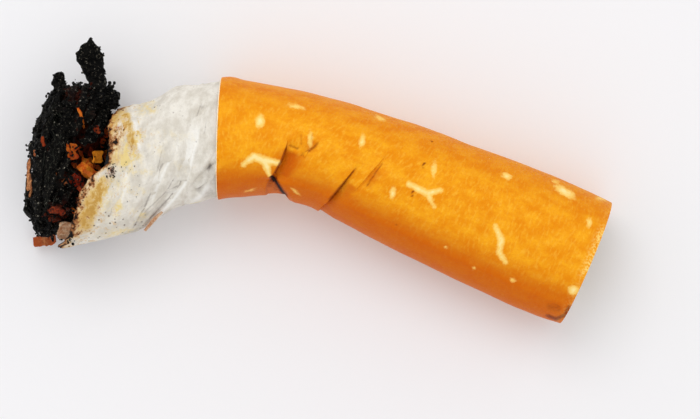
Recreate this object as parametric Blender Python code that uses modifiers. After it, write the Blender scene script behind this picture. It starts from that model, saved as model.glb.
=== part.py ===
"""A smoked and crushed cigarette butt, lying on its side.

Every piece is first made straight, as the making machine makes it: paper sheets rolled into
tubes with a glued lap, round a solid plug of fibre and a rod of tobacco. One function, crushed(),
then bends, flattens and folds them all together, so the layers stay nested inside each other.
The burnt tobacco is built on the end that this leaves.

Straight space: x runs along the butt from the mouth end, y points to the outer side of the bend,
z points up. World: +X is the mouth end's side, +Z is up, and the butt lies on z = 0.
"""

import math

import bmesh
import bpy
import numpy as np

MM = 0.001

# Sizes of the unburnt cigarette.
FILTER_DIAMETER = 7.88 * MM
FILTER_LENGTH = 21.0 * MM
TIPPING_LENGTH = 25.0 * MM
TIPPING_THICKNESS = 0.08 * MM
WRAP_THICKNESS = 0.06 * MM
PAPER_THICKNESS = 0.06 * MM
LAP_WIDTH = 2.0 * MM
GLUE_GAP = 0.04 * MM
LAYER_GAP = 0.04 * MM
END_GAP = 0.1 * MM

# What smoking and stubbing out left, measured along the butt from the mouth end.
BURN_PLACE = 32.8 * MM
ROD_SET_BACK = 0.7 * MM
FOLD_BEFORE_PLUG_END = 0.5 * MM
FOLD_TAKE_UP = 0.6 * MM
BURNT_END_LIFT = 0.9 * MM
LIFT_START = 17.0 * MM
FLAT_SHARE = 0.925

# The axis in plan: heading at the mouth, then two bends as (degrees, place, length).
MOUTH_PLACE = (14.76 * MM, -3.34 * MM)
MOUTH_HEADING = 23.2
FOLD_BEND = (-21.5, FILTER_LENGTH - 2.1 * MM, 6.4 * MM)
PAPER_BEND = (-21.7, TIPPING_LENGTH + 1.9 * MM, 4.6 * MM)

# The crushed section against the round one: share of the filter's length, then the
# half width on the outer side, the half width on the inner side and the half height.
FILTER_SECTION = [
    (0.00, 1.045, 1.030, 0.940),
    (0.10, 1.070, 1.070, 0.945),
    (0.24, 1.060, 1.060, 0.950),
    (0.43, 1.010, 1.020, 0.975),
    (0.62, 0.960, 0.965, 1.000),
    (0.81, 0.870, 0.890, 1.030),
    (0.95, 0.870, 0.870, 1.010),
    (1.00, 0.905, 0.850, 1.000),
    (1.09, 0.975, 0.880, 1.000),
]
# The same past the end of the tipping paper: millimetres past it, then the three shares.
PAPER_SECTION = [
    (-0.2, 1.015, 0.925, 1.000),
    (0.5, 0.970, 0.970, 0.990),
    (1.2, 0.930, 1.015, 0.980),
    (2.3, 0.910, 1.030, 0.970),
    (3.5, 0.780, 1.035, 0.950),
    (4.6, 0.810, 1.070, 0.930),
    (5.6, 0.840, 1.125, 0.910),
    (6.6, 0.860, 1.170, 0.890),
    (8.6, 0.880, 1.140, 0.860),
    (11.6, 0.880, 1.030, 0.840),
]

# Folds of the tipping: millimetres from the kink towards the mouth, then how far the paper
# stands out or in, above the corner of the kink and below it.
KINK_ROWS = [
    (-1.00, 0.00, 0.00),
    (-0.15, 0.07, -0.14),
    (0.00, -0.55, -0.32),
    (0.60, -0.38, -0.55),
    (1.25, -0.20, -0.80),
    (1.45, -0.14, -0.08),
    (2.10, -0.04, 0.14),
    (3.20, 0.00, 0.08),
]
CREASE_ROWS = [
    (4.45, 0.00),
    (4.88, 0.08),
    (5.03, -0.38),
    (5.60, -0.12),
    (6.02, 0.00),
]
SMALL_CREASE_ROWS = [
    (5.60, 0.00),
    (5.88, 0.05),
    (6.02, -0.18),
    (6.90, 0.00),
]
FOLD_OVERHANG = 0.2 * MM
FOLD_SKEW = 0.30
BURN_SKEW = 0.65

# Creases of the white paper: from and to, as (millimetres past the tipping, millimetres
# across from the axis towards the inner side), then depth and half width in millimetres.
PAPER_CREASES = [
    ((0.2, -2.3), (2.9, 1.9), 0.16, 0.40),
    ((2.9, 1.9), (6.2, 3.9), 0.22, 0.50),
    ((-0.2, 1.2), (2.2, 3.0), 0.26, 0.45),
    ((2.2, -0.9), (6.8, 3.4), 0.18, 0.42),
    ((5.4, -2.6), (5.9, -0.8), 0.16, 0.30),
]

# Faces round a tube, and the rows of faces along the plain stretches, in millimetres.
COLUMNS = 30
COLUMN_STEP = 2 * math.pi / COLUMNS
MOUTH_ROWS = [0.0, 2.8, 6.4, 10.4]
COLLAR_ROW_LENGTH = 1.3 * MM
PAPER_ROW_LENGTH = 0.52 * MM
TIPPING_SEAM = math.radians(312)
WRAP_SEAM = math.radians(336)
PAPER_SEAM = math.radians(276)

# The char on the burnt end: half sizes through it, along its length and upright.
CRUST_THICK = 2.35 * MM
CRUST_LONG = 4.85 * MM
CRUST_HIGH = 3.25 * MM
CRUST_SETTLING = 0.1 * MM
CRUST_MIDDLE = CRUST_HIGH - CRUST_SETTLING
CRUST_ROUNDNESS = 2.5
CRUST_LUMP = 0.22 * MM
CRUST_SHIFT = 0.15 * MM
CHAR_GAP = 0.1 * MM
STRAND_WIDTH = 0.66 * MM
STRAND_THICKNESS = 0.2 * MM
SHRED_THICKNESS = 0.16 * MM
FLAKE_THICKNESS = 0.3 * MM

RADIUS = FILTER_DIAMETER / 2
KINK = FILTER_LENGTH - FOLD_BEFORE_PLUG_END
TIPPING_PLACE = TIPPING_LENGTH - FOLD_TAKE_UP
BURNT_END_PLACE = BURN_PLACE - FOLD_TAKE_UP
WRAP_RADIUS = RADIUS - TIPPING_THICKNESS - LAYER_GAP - WRAP_THICKNESS - GLUE_GAP
PLUG_RADIUS = WRAP_RADIUS - WRAP_THICKNESS - LAYER_GAP
PAPER_RADIUS = RADIUS - TIPPING_THICKNESS - LAYER_GAP - PAPER_THICKNESS - GLUE_GAP
ROD_RADIUS = PAPER_RADIUS - PAPER_THICKNESS - LAYER_GAP
ROD_START = FILTER_LENGTH + END_GAP
ROD_END = BURN_PLACE - ROD_SET_BACK


def eased(x):
    """0 before 0, 1 after 1, and a smooth step between."""
    x = np.clip(x, 0.0, 1.0)
    return x * x * (3 - 2 * x)


def smooth_curve(x, places, values):
    """A curve through the values at their places, with no corner at any of them."""
    places = np.asarray(places, float)
    values = np.asarray(values, float)
    slopes = np.gradient(values, places)
    x = np.clip(x, places[0], places[-1])
    i = np.clip(np.searchsorted(places, x) - 1, 0, len(places) - 2)
    step = places[i + 1] - places[i]
    t = (x - places[i]) / step
    from_left = values[i] + slopes[i] * step * t
    from_right = values[i + 1] - slopes[i + 1] * step * (1 - t)
    return from_left + (from_right - from_left) * eased(t)


def section_table():
    """Places along the butt and the three shares of the round section at each."""
    filter_part = [(share * FILTER_LENGTH, *rest) for share, *rest in FILTER_SECTION]
    paper_part = [(TIPPING_PLACE + past * MM, *rest) for past, *rest in PAPER_SECTION]
    before = [row for row in filter_part if row[0] < paper_part[0][0] - MM / 2]
    return np.array(before + paper_part).T


SECTION = section_table()


def heading(s):
    """The axis's heading in radians at each place along it."""
    degrees = MOUTH_HEADING + 0.0 * s
    for turn, place, length in (FOLD_BEND, PAPER_BEND):
        degrees = degrees + turn * eased((s - place) / length + 0.5)
    return np.radians(degrees)


def axis_table():
    """The axis in plan, added up from short steps along its heading."""
    step = 0.02 * MM
    s = np.arange(-2 * MM, BURN_PLACE + 12 * MM, step)
    middle = heading(s + step / 2)
    x = np.concatenate([[0.0], np.cumsum(-np.cos(middle) * step)[:-1]])
    y = np.concatenate([[0.0], np.cumsum(np.sin(middle) * step)[:-1]])
    x += MOUTH_PLACE[0] - np.interp(0.0, s, x)
    y += MOUTH_PLACE[1] - np.interp(0.0, s, y)
    return s, x, y


AXIS_S, AXIS_X, AXIS_Y = axis_table()


def lift(s):
    """How far the butt's underside stands off the ground."""
    rise = np.clip((s - LIFT_START) / (BURNT_END_PLACE - LIFT_START), 0.0, 1.3)
    return BURNT_END_LIFT * rise**1.6


def between(angle, start, full, full_end, end):
    """1 from full to full_end degrees round the tube, easing to 0 at start and end."""
    degrees = np.degrees(np.mod(angle, 2 * math.pi))
    return eased((degrees - start) / (full - start)) * eased((end - degrees) / (end - full_end))


def row_heights(s, rows, column):
    """The folds' rows read as a line of straight stretches."""
    places = [KINK - row[0] * MM for row in rows][::-1]
    heights = [row[column] * MM for row in rows][::-1]
    return np.interp(s, places, heights)


def tipping_folds(s, angle):
    """How far the tipping stands out at the kink and at the two creases beside it."""
    low = between(angle, 132, 148, 200, 240)
    kink = row_heights(s, KINK_ROWS, 1) * (1 - low) + row_heights(s, KINK_ROWS, 2) * low
    kink = kink * between(angle, 84, 106, 160, 214)
    crease = row_heights(s, CREASE_ROWS, 1) * between(angle, 82, 134, 170, 214)
    small = row_heights(s, SMALL_CREASE_ROWS, 1) * between(angle, 66, 88, 100, 122)
    return kink + crease + small


def paper_folds(s, y, z):
    """How far the white paper stands in along its creases, on its upper side."""
    past = (s - TIPPING_LENGTH) / MM
    across = -y / MM
    depth = np.zeros_like(s)
    for start, end, deep, half_width in PAPER_CREASES:
        run = np.subtract(end, start)
        share = ((past - start[0]) * run[0] + (across - start[1]) * run[1]) / (run @ run)
        share = np.clip(share, 0.0, 1.0)
        gap = np.hypot(past - start[0] - share * run[0], across - start[1] - share * run[1])
        depth -= deep * MM * np.exp(-((gap / half_width) ** 2))
    return depth * eased(z / RADIUS + 0.5) * eased(past / 0.8)


def skew(s):
    """How much the folds and the burn line slant, in length along for each length across."""
    at_folds = FOLD_SKEW * eased((s - 6 * MM) / (8 * MM)) * eased((TIPPING_PLACE - s) / (4 * MM))
    burnt_share = np.clip((s - TIPPING_PLACE) / (BURNT_END_PLACE - TIPPING_PLACE), 0, 1.1)
    return at_folds + BURN_SKEW * burnt_share


def taken_up(s):
    """How much shorter the butt is up to each place, where the kink has swallowed paper."""
    return FOLD_TAKE_UP * eased((s - KINK) / (2.4 * MM) + 0.6)


def crushed(points):
    """Straight space to the world: folds, slant, flattening and then the bends."""
    s, y, z = points.T
    radius = np.hypot(y, z)
    angle = np.arctan2(z, y)
    reach = (radius / RADIUS) ** 2
    radius = radius + (tipping_folds(s, angle) + paper_folds(s, y, z)) * reach

    near_kink = np.exp(-(((s - KINK) / (0.5 * MM)) ** 2)) * between(angle, 84, 110, 125, 150)
    outermost = np.clip(radius / RADIUS * 5 - 4, 0.0, 1.2)
    s = s - FOLD_OVERHANG * near_kink * outermost
    s = s - taken_up(s)

    y = radius * np.cos(angle)
    z = radius * np.maximum(np.sin(angle), -FLAT_SHARE)
    s = s - skew(s) * y

    outer = smooth_curve(s, SECTION[0], SECTION[1])
    inner = smooth_curve(s, SECTION[0], SECTION[2])
    high = smooth_curve(s, SECTION[0], SECTION[3])
    across = y * np.where(y > 0, outer, inner)
    up = lift(s) + (z + FLAT_SHARE * RADIUS) * high

    turn = heading(s)
    x = np.interp(s, AXIS_S, AXIS_X) + np.sin(turn) * across
    y = np.interp(s, AXIS_S, AXIS_Y) + np.cos(turn) * across
    return np.stack([x, y, up], axis=1)


def straightened(points):
    """The world back to straight space near the burnt end, where the axis is straight."""
    turn = float(heading(np.array(BURNT_END_PLACE)))
    dx = points[:, 0] - np.interp(BURNT_END_PLACE, AXIS_S, AXIS_X)
    dy = points[:, 1] - np.interp(BURNT_END_PLACE, AXIS_S, AXIS_Y)
    s = BURNT_END_PLACE - dx * math.cos(turn) + dy * math.sin(turn)
    across = dx * math.sin(turn) + dy * math.cos(turn)
    outer = smooth_curve(s, SECTION[0], SECTION[1])
    inner = smooth_curve(s, SECTION[0], SECTION[2])
    y = across / np.where(across > 0, outer, inner)
    z = (points[:, 2] - lift(s)) / smooth_curve(s, SECTION[0], SECTION[3]) - FLAT_SHARE * RADIUS
    return np.stack([s + skew(s) * y + FOLD_TAKE_UP, y, z], axis=1)


def burnt_edge(angle):
    """Where the white paper ends, round the tube: longer on the inner side, and ragged."""
    inner_side = 1.6 * eased(0.2 - 2.6 * np.cos(angle)) * eased(0.75 + np.sin(angle) * 1.2)
    ragged = 0.20 * np.sin(5 * angle + 3.9) + 0.14 * np.sin(9 * angle + 2.0)
    return BURN_PLACE + (inner_side + ragged - 0.35) * MM


def rows_between(start, end):
    """Places of the rows of faces from start to end: close at the folds, wide elsewhere."""
    folds = [KINK - row[0] * MM for row in KINK_ROWS + CREASE_ROWS + SMALL_CREASE_ROWS]
    plain = [place * MM for place in MOUTH_ROWS]
    collar_count = max(2, round((TIPPING_LENGTH - max(folds)) / COLLAR_ROW_LENGTH))
    collar = np.linspace(max(folds), TIPPING_LENGTH, collar_count + 1)
    paper_count = max(4, round((BURN_PLACE - TIPPING_LENGTH) / PAPER_ROW_LENGTH))
    paper = np.linspace(TIPPING_LENGTH, BURN_PLACE, paper_count + 1)
    places = sorted([*plain, *folds, *collar, *paper])
    rows = [start]
    for place in places:
        if place - rows[-1] > 0.12 * MM and end - place > 0.2 * MM:
            rows.append(place)
    return rows + [end]


def grid_mesh(columns, rows, place_of):
    """A flat grid of triangles, each corner moved to place_of(column, row)."""
    bm = bmesh.new()
    bmesh.ops.create_grid(bm, x_segments=columns, y_segments=rows, size=0.5)
    bmesh.ops.triangulate(bm, faces=bm.faces[:], quad_method="FIXED")
    for vert in bm.verts:
        vert.co = place_of(round((vert.co.x + 0.5) * columns), round((vert.co.y + 0.5) * rows))
    return bm


def new_object(name, bm, material):
    """An object in the butt's collection from a bmesh, parented to the origin empty."""
    mesh = bpy.data.meshes.new(name)
    bm.to_mesh(mesh)
    bm.free()
    obj = bpy.data.objects.new(name, mesh)
    collection.objects.link(obj)
    obj.parent = origin
    mesh.materials.append(material)
    return obj


def give_thickness(obj, thickness):
    """Turns an open sheet into a closed one, grown outwards, and applies that."""
    solidify = obj.modifiers.new("Paper thickness", "SOLIDIFY")
    solidify.thickness = thickness
    solidify.offset = 1
    solidify.use_even_offset = True
    graph = bpy.context.evaluated_depsgraph_get()
    mesh = bpy.data.meshes.new_from_object(obj.evaluated_get(graph))
    sheet = obj.data
    obj.modifiers.remove(solidify)
    obj.data = mesh
    bpy.data.meshes.remove(sheet)
    mesh.name = obj.name


def move_points(obj, change):
    """Runs a function on all the points of an object's mesh."""
    points = np.empty(len(obj.data.vertices) * 3)
    obj.data.vertices.foreach_get("co", points)
    obj.data.vertices.foreach_set("co", change(points.reshape(-1, 3)).ravel())
    obj.data.update()


def crush(obj):
    """Crushes a straight piece. Straight space is left-handed, so its faces are turned round."""
    move_points(obj, crushed)
    obj.data.flip_normals()


def shade(obj, degrees=32):
    obj.data.shade_smooth()
    obj.data.set_sharp_from_angle(angle=math.radians(degrees))


def rolled_sheet(name, rows, radius, thickness, seam, material, far_edge=None):
    """A sheet rolled round the axis with a glued lap: radius is its outer face's."""
    lap = LAP_WIDTH / radius
    turns = [COLUMN_STEP * i for i in range(COLUMNS + 1)]
    turns += [turn for turn in (2 * math.pi + COLUMN_STEP * i for i in range(1, 9))
              if turn < 2 * math.pi + lap - COLUMN_STEP / 3]
    turns.append(2 * math.pi + lap)

    def place_of(column, row):
        turn = turns[column]
        step_up = eased((turn - 2 * math.pi) / (2 * COLUMN_STEP) + 1)
        reach = radius - thickness + (thickness + GLUE_GAP) * float(step_up)
        angle = seam + turn
        s = rows[row]
        if far_edge is not None:
            share = eased((s - rows[0]) / (rows[-1] - rows[0]) * 3 - 2)
            s += float(share * (far_edge(np.array(angle)) - rows[-1]))
        return (s, reach * math.cos(angle), reach * math.sin(angle))

    obj = new_object(name, grid_mesh(len(turns) - 1, len(rows) - 1, place_of), material)
    give_thickness(obj, thickness)
    crush(obj)
    shade(obj)
    return obj


def solid_core(name, rows, radius, material):
    """A solid round bar along the axis, closed by a fan of faces at each end."""

    def place_of(column, row):
        angle = COLUMN_STEP * (column % COLUMNS)
        return (rows[row], radius * math.cos(angle), radius * math.sin(angle))

    bm = grid_mesh(COLUMNS, len(rows) - 1, place_of)
    bmesh.ops.remove_doubles(bm, verts=bm.verts[:], dist=0.001 * MM)
    edges = [edge for edge in bm.edges if edge.is_boundary]
    caps = bmesh.ops.holes_fill(bm, edges=edges, sides=0)["faces"]
    bmesh.ops.poke(bm, faces=caps)
    bmesh.ops.recalc_face_normals(bm, faces=bm.faces[:])
    obj = new_object(name, bm, material)
    crush(obj)
    shade(obj)
    return obj


def char_frame():
    """The char's centre and its two directions in plan: away from the mouth, and across."""
    end = crushed(np.array([[ROD_END, 0.0, 0.0]]))[0]
    slant = math.atan(float(skew(np.array(ROD_END - FOLD_TAKE_UP))))
    turn = float(heading(np.array(ROD_END - FOLD_TAKE_UP))) + slant
    away = np.array([-math.cos(turn), math.sin(turn), 0.0])
    across = np.array([math.sin(turn), math.cos(turn), 0.0])
    centre = end + away * (CRUST_THICK + CHAR_GAP) - across * CRUST_SHIFT
    centre[2] = CRUST_MIDDLE
    return centre, away, across


CHAR_CENTRE, CHAR_AWAY, CHAR_ACROSS = char_frame()
CHAR_UP = np.array([0.0, 0.0, 1.0])


def inside_paper(points, room):
    """Draws points in where they would reach through the white paper's tube."""
    straight = straightened(points)
    radius = np.hypot(straight[:, 1], straight[:, 2])
    angle = np.arctan2(straight[:, 2], straight[:, 1])
    past_edge = np.maximum(straight[:, 0] - burnt_edge(angle) - 0.45 * MM, 0.0)
    limit = PAPER_RADIUS - PAPER_THICKNESS - room + 3.0 * past_edge
    share = np.minimum(1.0, limit / np.maximum(radius, 0.01 * MM))
    axis = straight * [1.0, 0.0, 0.0]
    middle = crushed(axis)
    return middle + (points - middle) * share[:, None]


def on_crust(longitude, latitude, out=0.0):
    """Points on the char's skin, or a little outside it: the latitude runs along its length,
    and the longitude is 0 on top and 90 degrees on the side away from the mouth."""
    level = np.cos(latitude)
    unit = np.stack([level * np.sin(longitude), np.sin(latitude), level * np.cos(longitude)], -1)
    size = (np.abs(unit) ** CRUST_ROUNDNESS).sum(-1) ** (-1 / CRUST_ROUNDNESS)
    local = unit * size[..., None] * [CRUST_THICK, CRUST_LONG, CRUST_HIGH]
    points = CHAR_CENTRE + local @ np.array([CHAR_AWAY, CHAR_ACROSS, CHAR_UP])
    points = inside_paper(points, CHAR_GAP + STRAND_THICKNESS + CHAR_GAP)
    points[:, 2] = np.maximum(points[:, 2], 0.0)
    outwards = points - CHAR_CENTRE
    outwards /= np.linalg.norm(outwards, axis=1)[:, None]
    return points + outwards * out, outwards


def char_crust(material):
    """The lump of burnt tobacco: a ball brought to the skin and dented by smooth waves."""
    bm = bmesh.new()
    bmesh.ops.create_uvsphere(bm, u_segments=22, v_segments=12, radius=1.0)
    bmesh.ops.triangulate(bm, faces=bm.faces[:], quad_method="FIXED")
    obj = new_object("char_crust", bm, material)

    def to_skin(ball):
        latitude = np.arcsin(np.clip(ball[:, 2], -1, 1))
        longitude = np.arctan2(ball[:, 0], ball[:, 1])
        wave = np.sin(5 * longitude + 3 * latitude) * np.cos(4 * latitude) * np.cos(latitude)
        dent = CRUST_LUMP * (0.5 - 0.5 * wave)
        points, outwards = on_crust(longitude, latitude)
        return points - outwards * dent[:, None] * (points[:, 2:] > 0.3 * MM)

    move_points(obj, to_skin)
    shade(obj, 50)
    return obj


def strip_object(name, middles, sides, half_widths, thickness, material):
    """A strip of leaf: a narrow grid along a path, given its thickness upwards."""
    count = len(middles) - 1

    def place_of(column, row):
        return middles[row] + sides[row] * half_widths[row] * (column * 2 - 1)

    obj = new_object(name, grid_mesh(1, count, place_of), material)
    give_thickness(obj, thickness)
    shade(obj, 50)
    return obj


def sideways(middles, ups):
    """The strip's sideways direction at each point of its path."""
    along = np.gradient(middles, axis=0)
    sides = np.cross(along, ups)
    return sides / np.linalg.norm(sides, axis=1)[:, None]


def laid_strip(name, path, width, thickness, material, rows=8, taper=0.5):
    """A strip that lies on the char's skin: path holds (longitude, latitude) in degrees."""
    path = np.radians(np.array(path, float))
    share = np.linspace(0, 1, rows + 1)
    ends = np.linspace(0, 1, len(path))
    longitude = np.interp(share, ends, path[:, 0])
    latitude = np.interp(share, ends, path[:, 1])
    middles, ups = on_crust(longitude, latitude, CHAR_GAP)
    narrowing = 1 - taper * (2 * share - 1) ** 4
    room = np.maximum(np.cos(latitude), 0.35)
    half_widths = width / 2 * narrowing * room
    sides = sideways(middles, ups)
    return strip_object(name, middles, sides, half_widths, thickness, material)


def skin_height(away, across):
    """How high the char's skin stands at a place in plan, or its middle height outside it."""
    left = 1 - abs(away / CRUST_THICK) ** CRUST_ROUNDNESS
    left -= abs(across / CRUST_LONG) ** CRUST_ROUNDNESS
    return CRUST_MIDDLE + CRUST_HIGH * max(left, 0.0) ** (1 / CRUST_ROUNDNESS)


def free_strip(name, path, thickness, material):
    """A strip that stands off the char: path holds (away, across, height, half width) in
    millimetres, with the place across counted from the char's end on that side."""
    middles = []
    for away, across, height, _ in path:
        end = math.copysign(CRUST_LONG, across)
        local = (away * MM, end + (across - math.copysign(5.0, across)) * MM)
        up = height * MM - CRUST_SETTLING
        if abs(local[1]) < CRUST_LONG:
            up = max(up, skin_height(*local) + 2 * CHAR_GAP + STRAND_THICKNESS)
        in_plan = local[0] * CHAR_AWAY + local[1] * CHAR_ACROSS
        middles.append(CHAR_CENTRE + in_plan + (up - CRUST_MIDDLE) * CHAR_UP)
    middles = np.array(middles)
    ups = np.tile(CHAR_UP, (len(path), 1))
    sides = sideways(middles, ups)
    half_widths = [half * MM for *_, half in path]
    return strip_object(name, middles, sides, half_widths, thickness, material)


def stem_splinter(material):
    """A splinter of leaf stem that has come through and lies along the paper's inner side."""
    s = BURN_PLACE - np.array([4.0, 3.5, 3.0]) * MM
    angle = np.radians([158, 163, 168])
    radius = PAPER_RADIUS + LAYER_GAP + np.array([0.03, 0.10, 0.16]) * MM
    straight = np.stack([s, radius * np.cos(angle), radius * np.sin(angle)], axis=1)
    middles = crushed(straight)
    ups = middles - crushed(straight * [1.0, 0.0, 0.0])
    ups /= np.linalg.norm(ups, axis=1)[:, None]
    half_widths = np.array([0.10, 0.22, 0.16]) * MM
    strip_object("stem_splinter", middles, sideways(middles, ups), half_widths,
                 SHRED_THICKNESS, material)


def new_material(name, colour, roughness):
    material = bpy.data.materials.new(name)
    material.use_nodes = True
    shader = material.node_tree.nodes["Principled BSDF"]
    shader.inputs["Base Color"].default_value = (*colour, 1.0)
    shader.inputs["Roughness"].default_value = roughness
    shader.inputs["Metallic"].default_value = 0.0
    material.diffuse_color = (*colour, 1.0)
    return material


for old in list(bpy.data.objects):
    bpy.data.objects.remove(old)

collection = bpy.data.collections.new("cigarette_butt")
bpy.context.scene.collection.children.link(collection)
origin = bpy.data.objects.new("butt_origin", None)
collection.objects.link(origin)

# Paper and filter.
cork = new_material("cork_tipping", (0.87, 0.41, 0.03), 0.5)
white = new_material("cigarette_paper", (0.82, 0.79, 0.72), 0.8)
wrap = new_material("plug_wrap", (0.85, 0.82, 0.74), 0.8)
tow = new_material("acetate_tow", (0.78, 0.66, 0.42), 0.9)
leaf = new_material("cut_tobacco", (0.20, 0.10, 0.04), 0.9)

solid_core("filter_plug", rows_between(0.0, FILTER_LENGTH), PLUG_RADIUS, tow)
rolled_sheet("plug_wrap", rows_between(0.0, FILTER_LENGTH), WRAP_RADIUS, WRAP_THICKNESS,
             WRAP_SEAM, wrap)
rolled_sheet("tipping_paper", rows_between(0.0, TIPPING_LENGTH), RADIUS, TIPPING_THICKNESS,
             TIPPING_SEAM, cork)
rolled_sheet("cigarette_paper", rows_between(ROD_START, BURN_PLACE), PAPER_RADIUS,
             PAPER_THICKNESS, PAPER_SEAM, white, burnt_edge)
solid_core("tobacco_rod", rows_between(ROD_START, ROD_END), ROD_RADIUS, leaf)

# Burnt tobacco.
black = new_material("charred_leaf", (0.012, 0.011, 0.010), 0.75)
amber = new_material("amber_leaf", (0.60, 0.20, 0.03), 0.7)
tan = new_material("tan_leaf", (0.45, 0.22, 0.10), 0.8)

char_crust(black)

STRANDS = [
    ((-25, 42), (-20, 27)),
    ((-46, 36), (-38, 25), (-20, 11.5)),
    ((-8, 66), (-6, 34), (-4, 17)),
    ((16, 66), (14, 10), (18, -62)),
    ((40, 54), (36, 0), (34, -30), (40, -60)),
    ((63, 58), (60, 6)),
    ((88, 50), (85, 0), (90, -48)),
    ((0, -27), (0, -40)),
]
for number, path in enumerate(STRANDS, 1):
    laid_strip(f"charred_strand_{number}", path, STRAND_WIDTH, STRAND_THICKNESS, black)

AMBER = [
    ((-4, 11.5), (-8.5, 1)),
    ((-20, -2), (-48.5, -9)),
    ((-42, 9), (-43.5, 2)),
    ((-12, -10), (-29, -15)),
]
for number, path in enumerate(AMBER, 1):
    laid_strip(f"amber_shred_{number}", path, STRAND_WIDTH, SHRED_THICKNESS, amber, 4, 0.2)

laid_strip("tan_shred", ((62, -4), (54, -17), (49, -28)), STRAND_WIDTH, SHRED_THICKNESS, tan, 5)
laid_strip("buff_shred", ((-22, -43), (-24, -56), (-30, -67)), 1.2 * MM, SHRED_THICKNESS,
           tan, 5, 0.1)

free_strip("charred_flake_tall", [
    (-1.10, 4.10, 0.0, 0.42),
    (-0.85, 5.10, 4.6, 0.48),
    (-0.60, 5.80, 4.2, 0.46),
    (-0.25, 6.25, 4.1, 0.66),
    (0.05, 6.70, 4.1, 0.78),
    (0.15, 7.35, 4.2, 0.76),
    (0.25, 7.90, 4.3, 0.12),
], FLAKE_THICKNESS, black)
free_strip("charred_flake_short", [
    (1.45, 4.20, 0.0, 0.34),
    (1.60, 4.95, 4.3, 0.40),
    (1.75, 5.35, 4.2, 0.36),
], FLAKE_THICKNESS, black)
free_strip("charred_flake_side", [
    (-1.62, 3.70, 0.0, 0.34),
    (-1.85, 4.35, 4.6, 0.42),
    (-2.15, 4.80, 4.3, 0.36),
    (-2.40, 5.00, 4.2, 0.10),
], FLAKE_THICKNESS, black)
free_strip("russet_shred", [
    (0.35, -5.15, 1.2, 0.36),
    (1.00, -5.40, 0.9, 0.44),
    (1.70, -5.65, 0.7, 0.30),
], SHRED_THICKNESS, tan)

stem_splinter(tan)

# The whole object is set down with its box's bottom centre on the world's origin.
bpy.context.view_layer.update()
corners = np.array([
    obj.matrix_world @ vert.co
    for obj in collection.objects
    if obj.type == "MESH"
    for vert in obj.data.vertices
])
low = corners.min(axis=0)
high = corners.max(axis=0)
origin.location = (-(low[0] + high[0]) / 2, -(low[1] + high[1]) / 2, -low[2])
bpy.context.view_layer.update()
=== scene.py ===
# %% [markdown]
# A smoked and stubbed-out cigarette butt, seen from straight above.
# The tube was rolled straight and then crushed, so each sheet is worked out straight and sent
# through one function that bends, flattens and folds everything together. That way the layers
# stay inside each other, and a crease in the cork paper also presses the fibres under it.

import math

import bpy
import numpy as np
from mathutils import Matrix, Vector
from mathutils.bvhtree import BVHTree


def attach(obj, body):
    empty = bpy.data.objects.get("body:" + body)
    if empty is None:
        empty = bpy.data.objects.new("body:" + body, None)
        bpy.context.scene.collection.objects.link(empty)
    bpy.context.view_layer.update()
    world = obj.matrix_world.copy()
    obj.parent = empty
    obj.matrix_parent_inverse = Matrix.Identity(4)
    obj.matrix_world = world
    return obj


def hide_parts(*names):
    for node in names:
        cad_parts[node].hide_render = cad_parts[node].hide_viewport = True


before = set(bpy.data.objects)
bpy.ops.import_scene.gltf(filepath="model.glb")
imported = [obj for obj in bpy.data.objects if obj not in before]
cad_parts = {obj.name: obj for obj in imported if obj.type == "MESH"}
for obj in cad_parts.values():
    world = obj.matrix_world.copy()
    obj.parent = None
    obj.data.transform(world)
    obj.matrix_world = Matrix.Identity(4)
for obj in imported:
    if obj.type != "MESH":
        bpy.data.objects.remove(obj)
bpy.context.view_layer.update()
MM = 0.001

# %% [markdown]
# The camera hangs straight over the butt, as in the photograph. A long lens keeps the outline
# close to a plan view: 16 pixels a millimetre at 4 mm above the ground. The same lens formula
# is kept as a function, so that a fleck or a stain can be placed where the photograph has it.

# %% The camera
SET_DOWN = np.array([1.986, -1.810, 0.0])
CAMERA_HEIGHT = 164.0
LENS = 131.7
PIXELS_WIDE = 700
PIXELS_HIGH = 419
PIXELS_PER_MM = 16
SENSOR_WIDE = 36.0

camera = bpy.data.objects.new("camera", bpy.data.cameras.new("camera"))
camera.data.lens = LENS
camera.data.sensor_width = 36.0
camera.data.clip_start = 0.01
camera.data.clip_end = 10.0
camera.location = (SET_DOWN + [0.0, 0.0, CAMERA_HEIGHT]) * MM
bpy.context.scene.collection.objects.link(camera)
bpy.context.scene.camera = camera


def seen_at(points):
    """Pixels across and down: the offset from the lens axis times the lens over the distance."""
    share = LENS / SENSOR_WIDE * PIXELS_WIDE / (CAMERA_HEIGHT - points[..., 2])
    across = PIXELS_WIDE / 2 + (points[..., 0] - SET_DOWN[0]) * share
    down = PIXELS_HIGH / 2 - (points[..., 1] - SET_DOWN[1]) * share
    return across, down


print("16 px/mm at 4 mm:", round(LENS / 36 * PIXELS_WIDE / (CAMERA_HEIGHT - 4), 2))

# %% [markdown]
# Daylight from a big window: a pale sky all round, and one large soft lamp from the upper left
# that leaves a short soft shadow below the butt. The ground is a plain pale sheet.

# %% Ground, sky and lamp


def new_material(name):
    """A node material, its nodes and its shader."""
    material = bpy.data.materials.new(name)
    material.use_nodes = True
    return material, material.node_tree, material.node_tree.nodes["Principled BSDF"]


def surface_mesh(name, points, faces):
    """A mesh from points in millimetres and faces as rows of point numbers."""
    mesh = bpy.data.meshes.new(name)
    mesh.from_pydata((np.asarray(points) * MM).tolist(), [], [list(face) for face in faces])
    mesh.validate()
    return mesh


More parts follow.
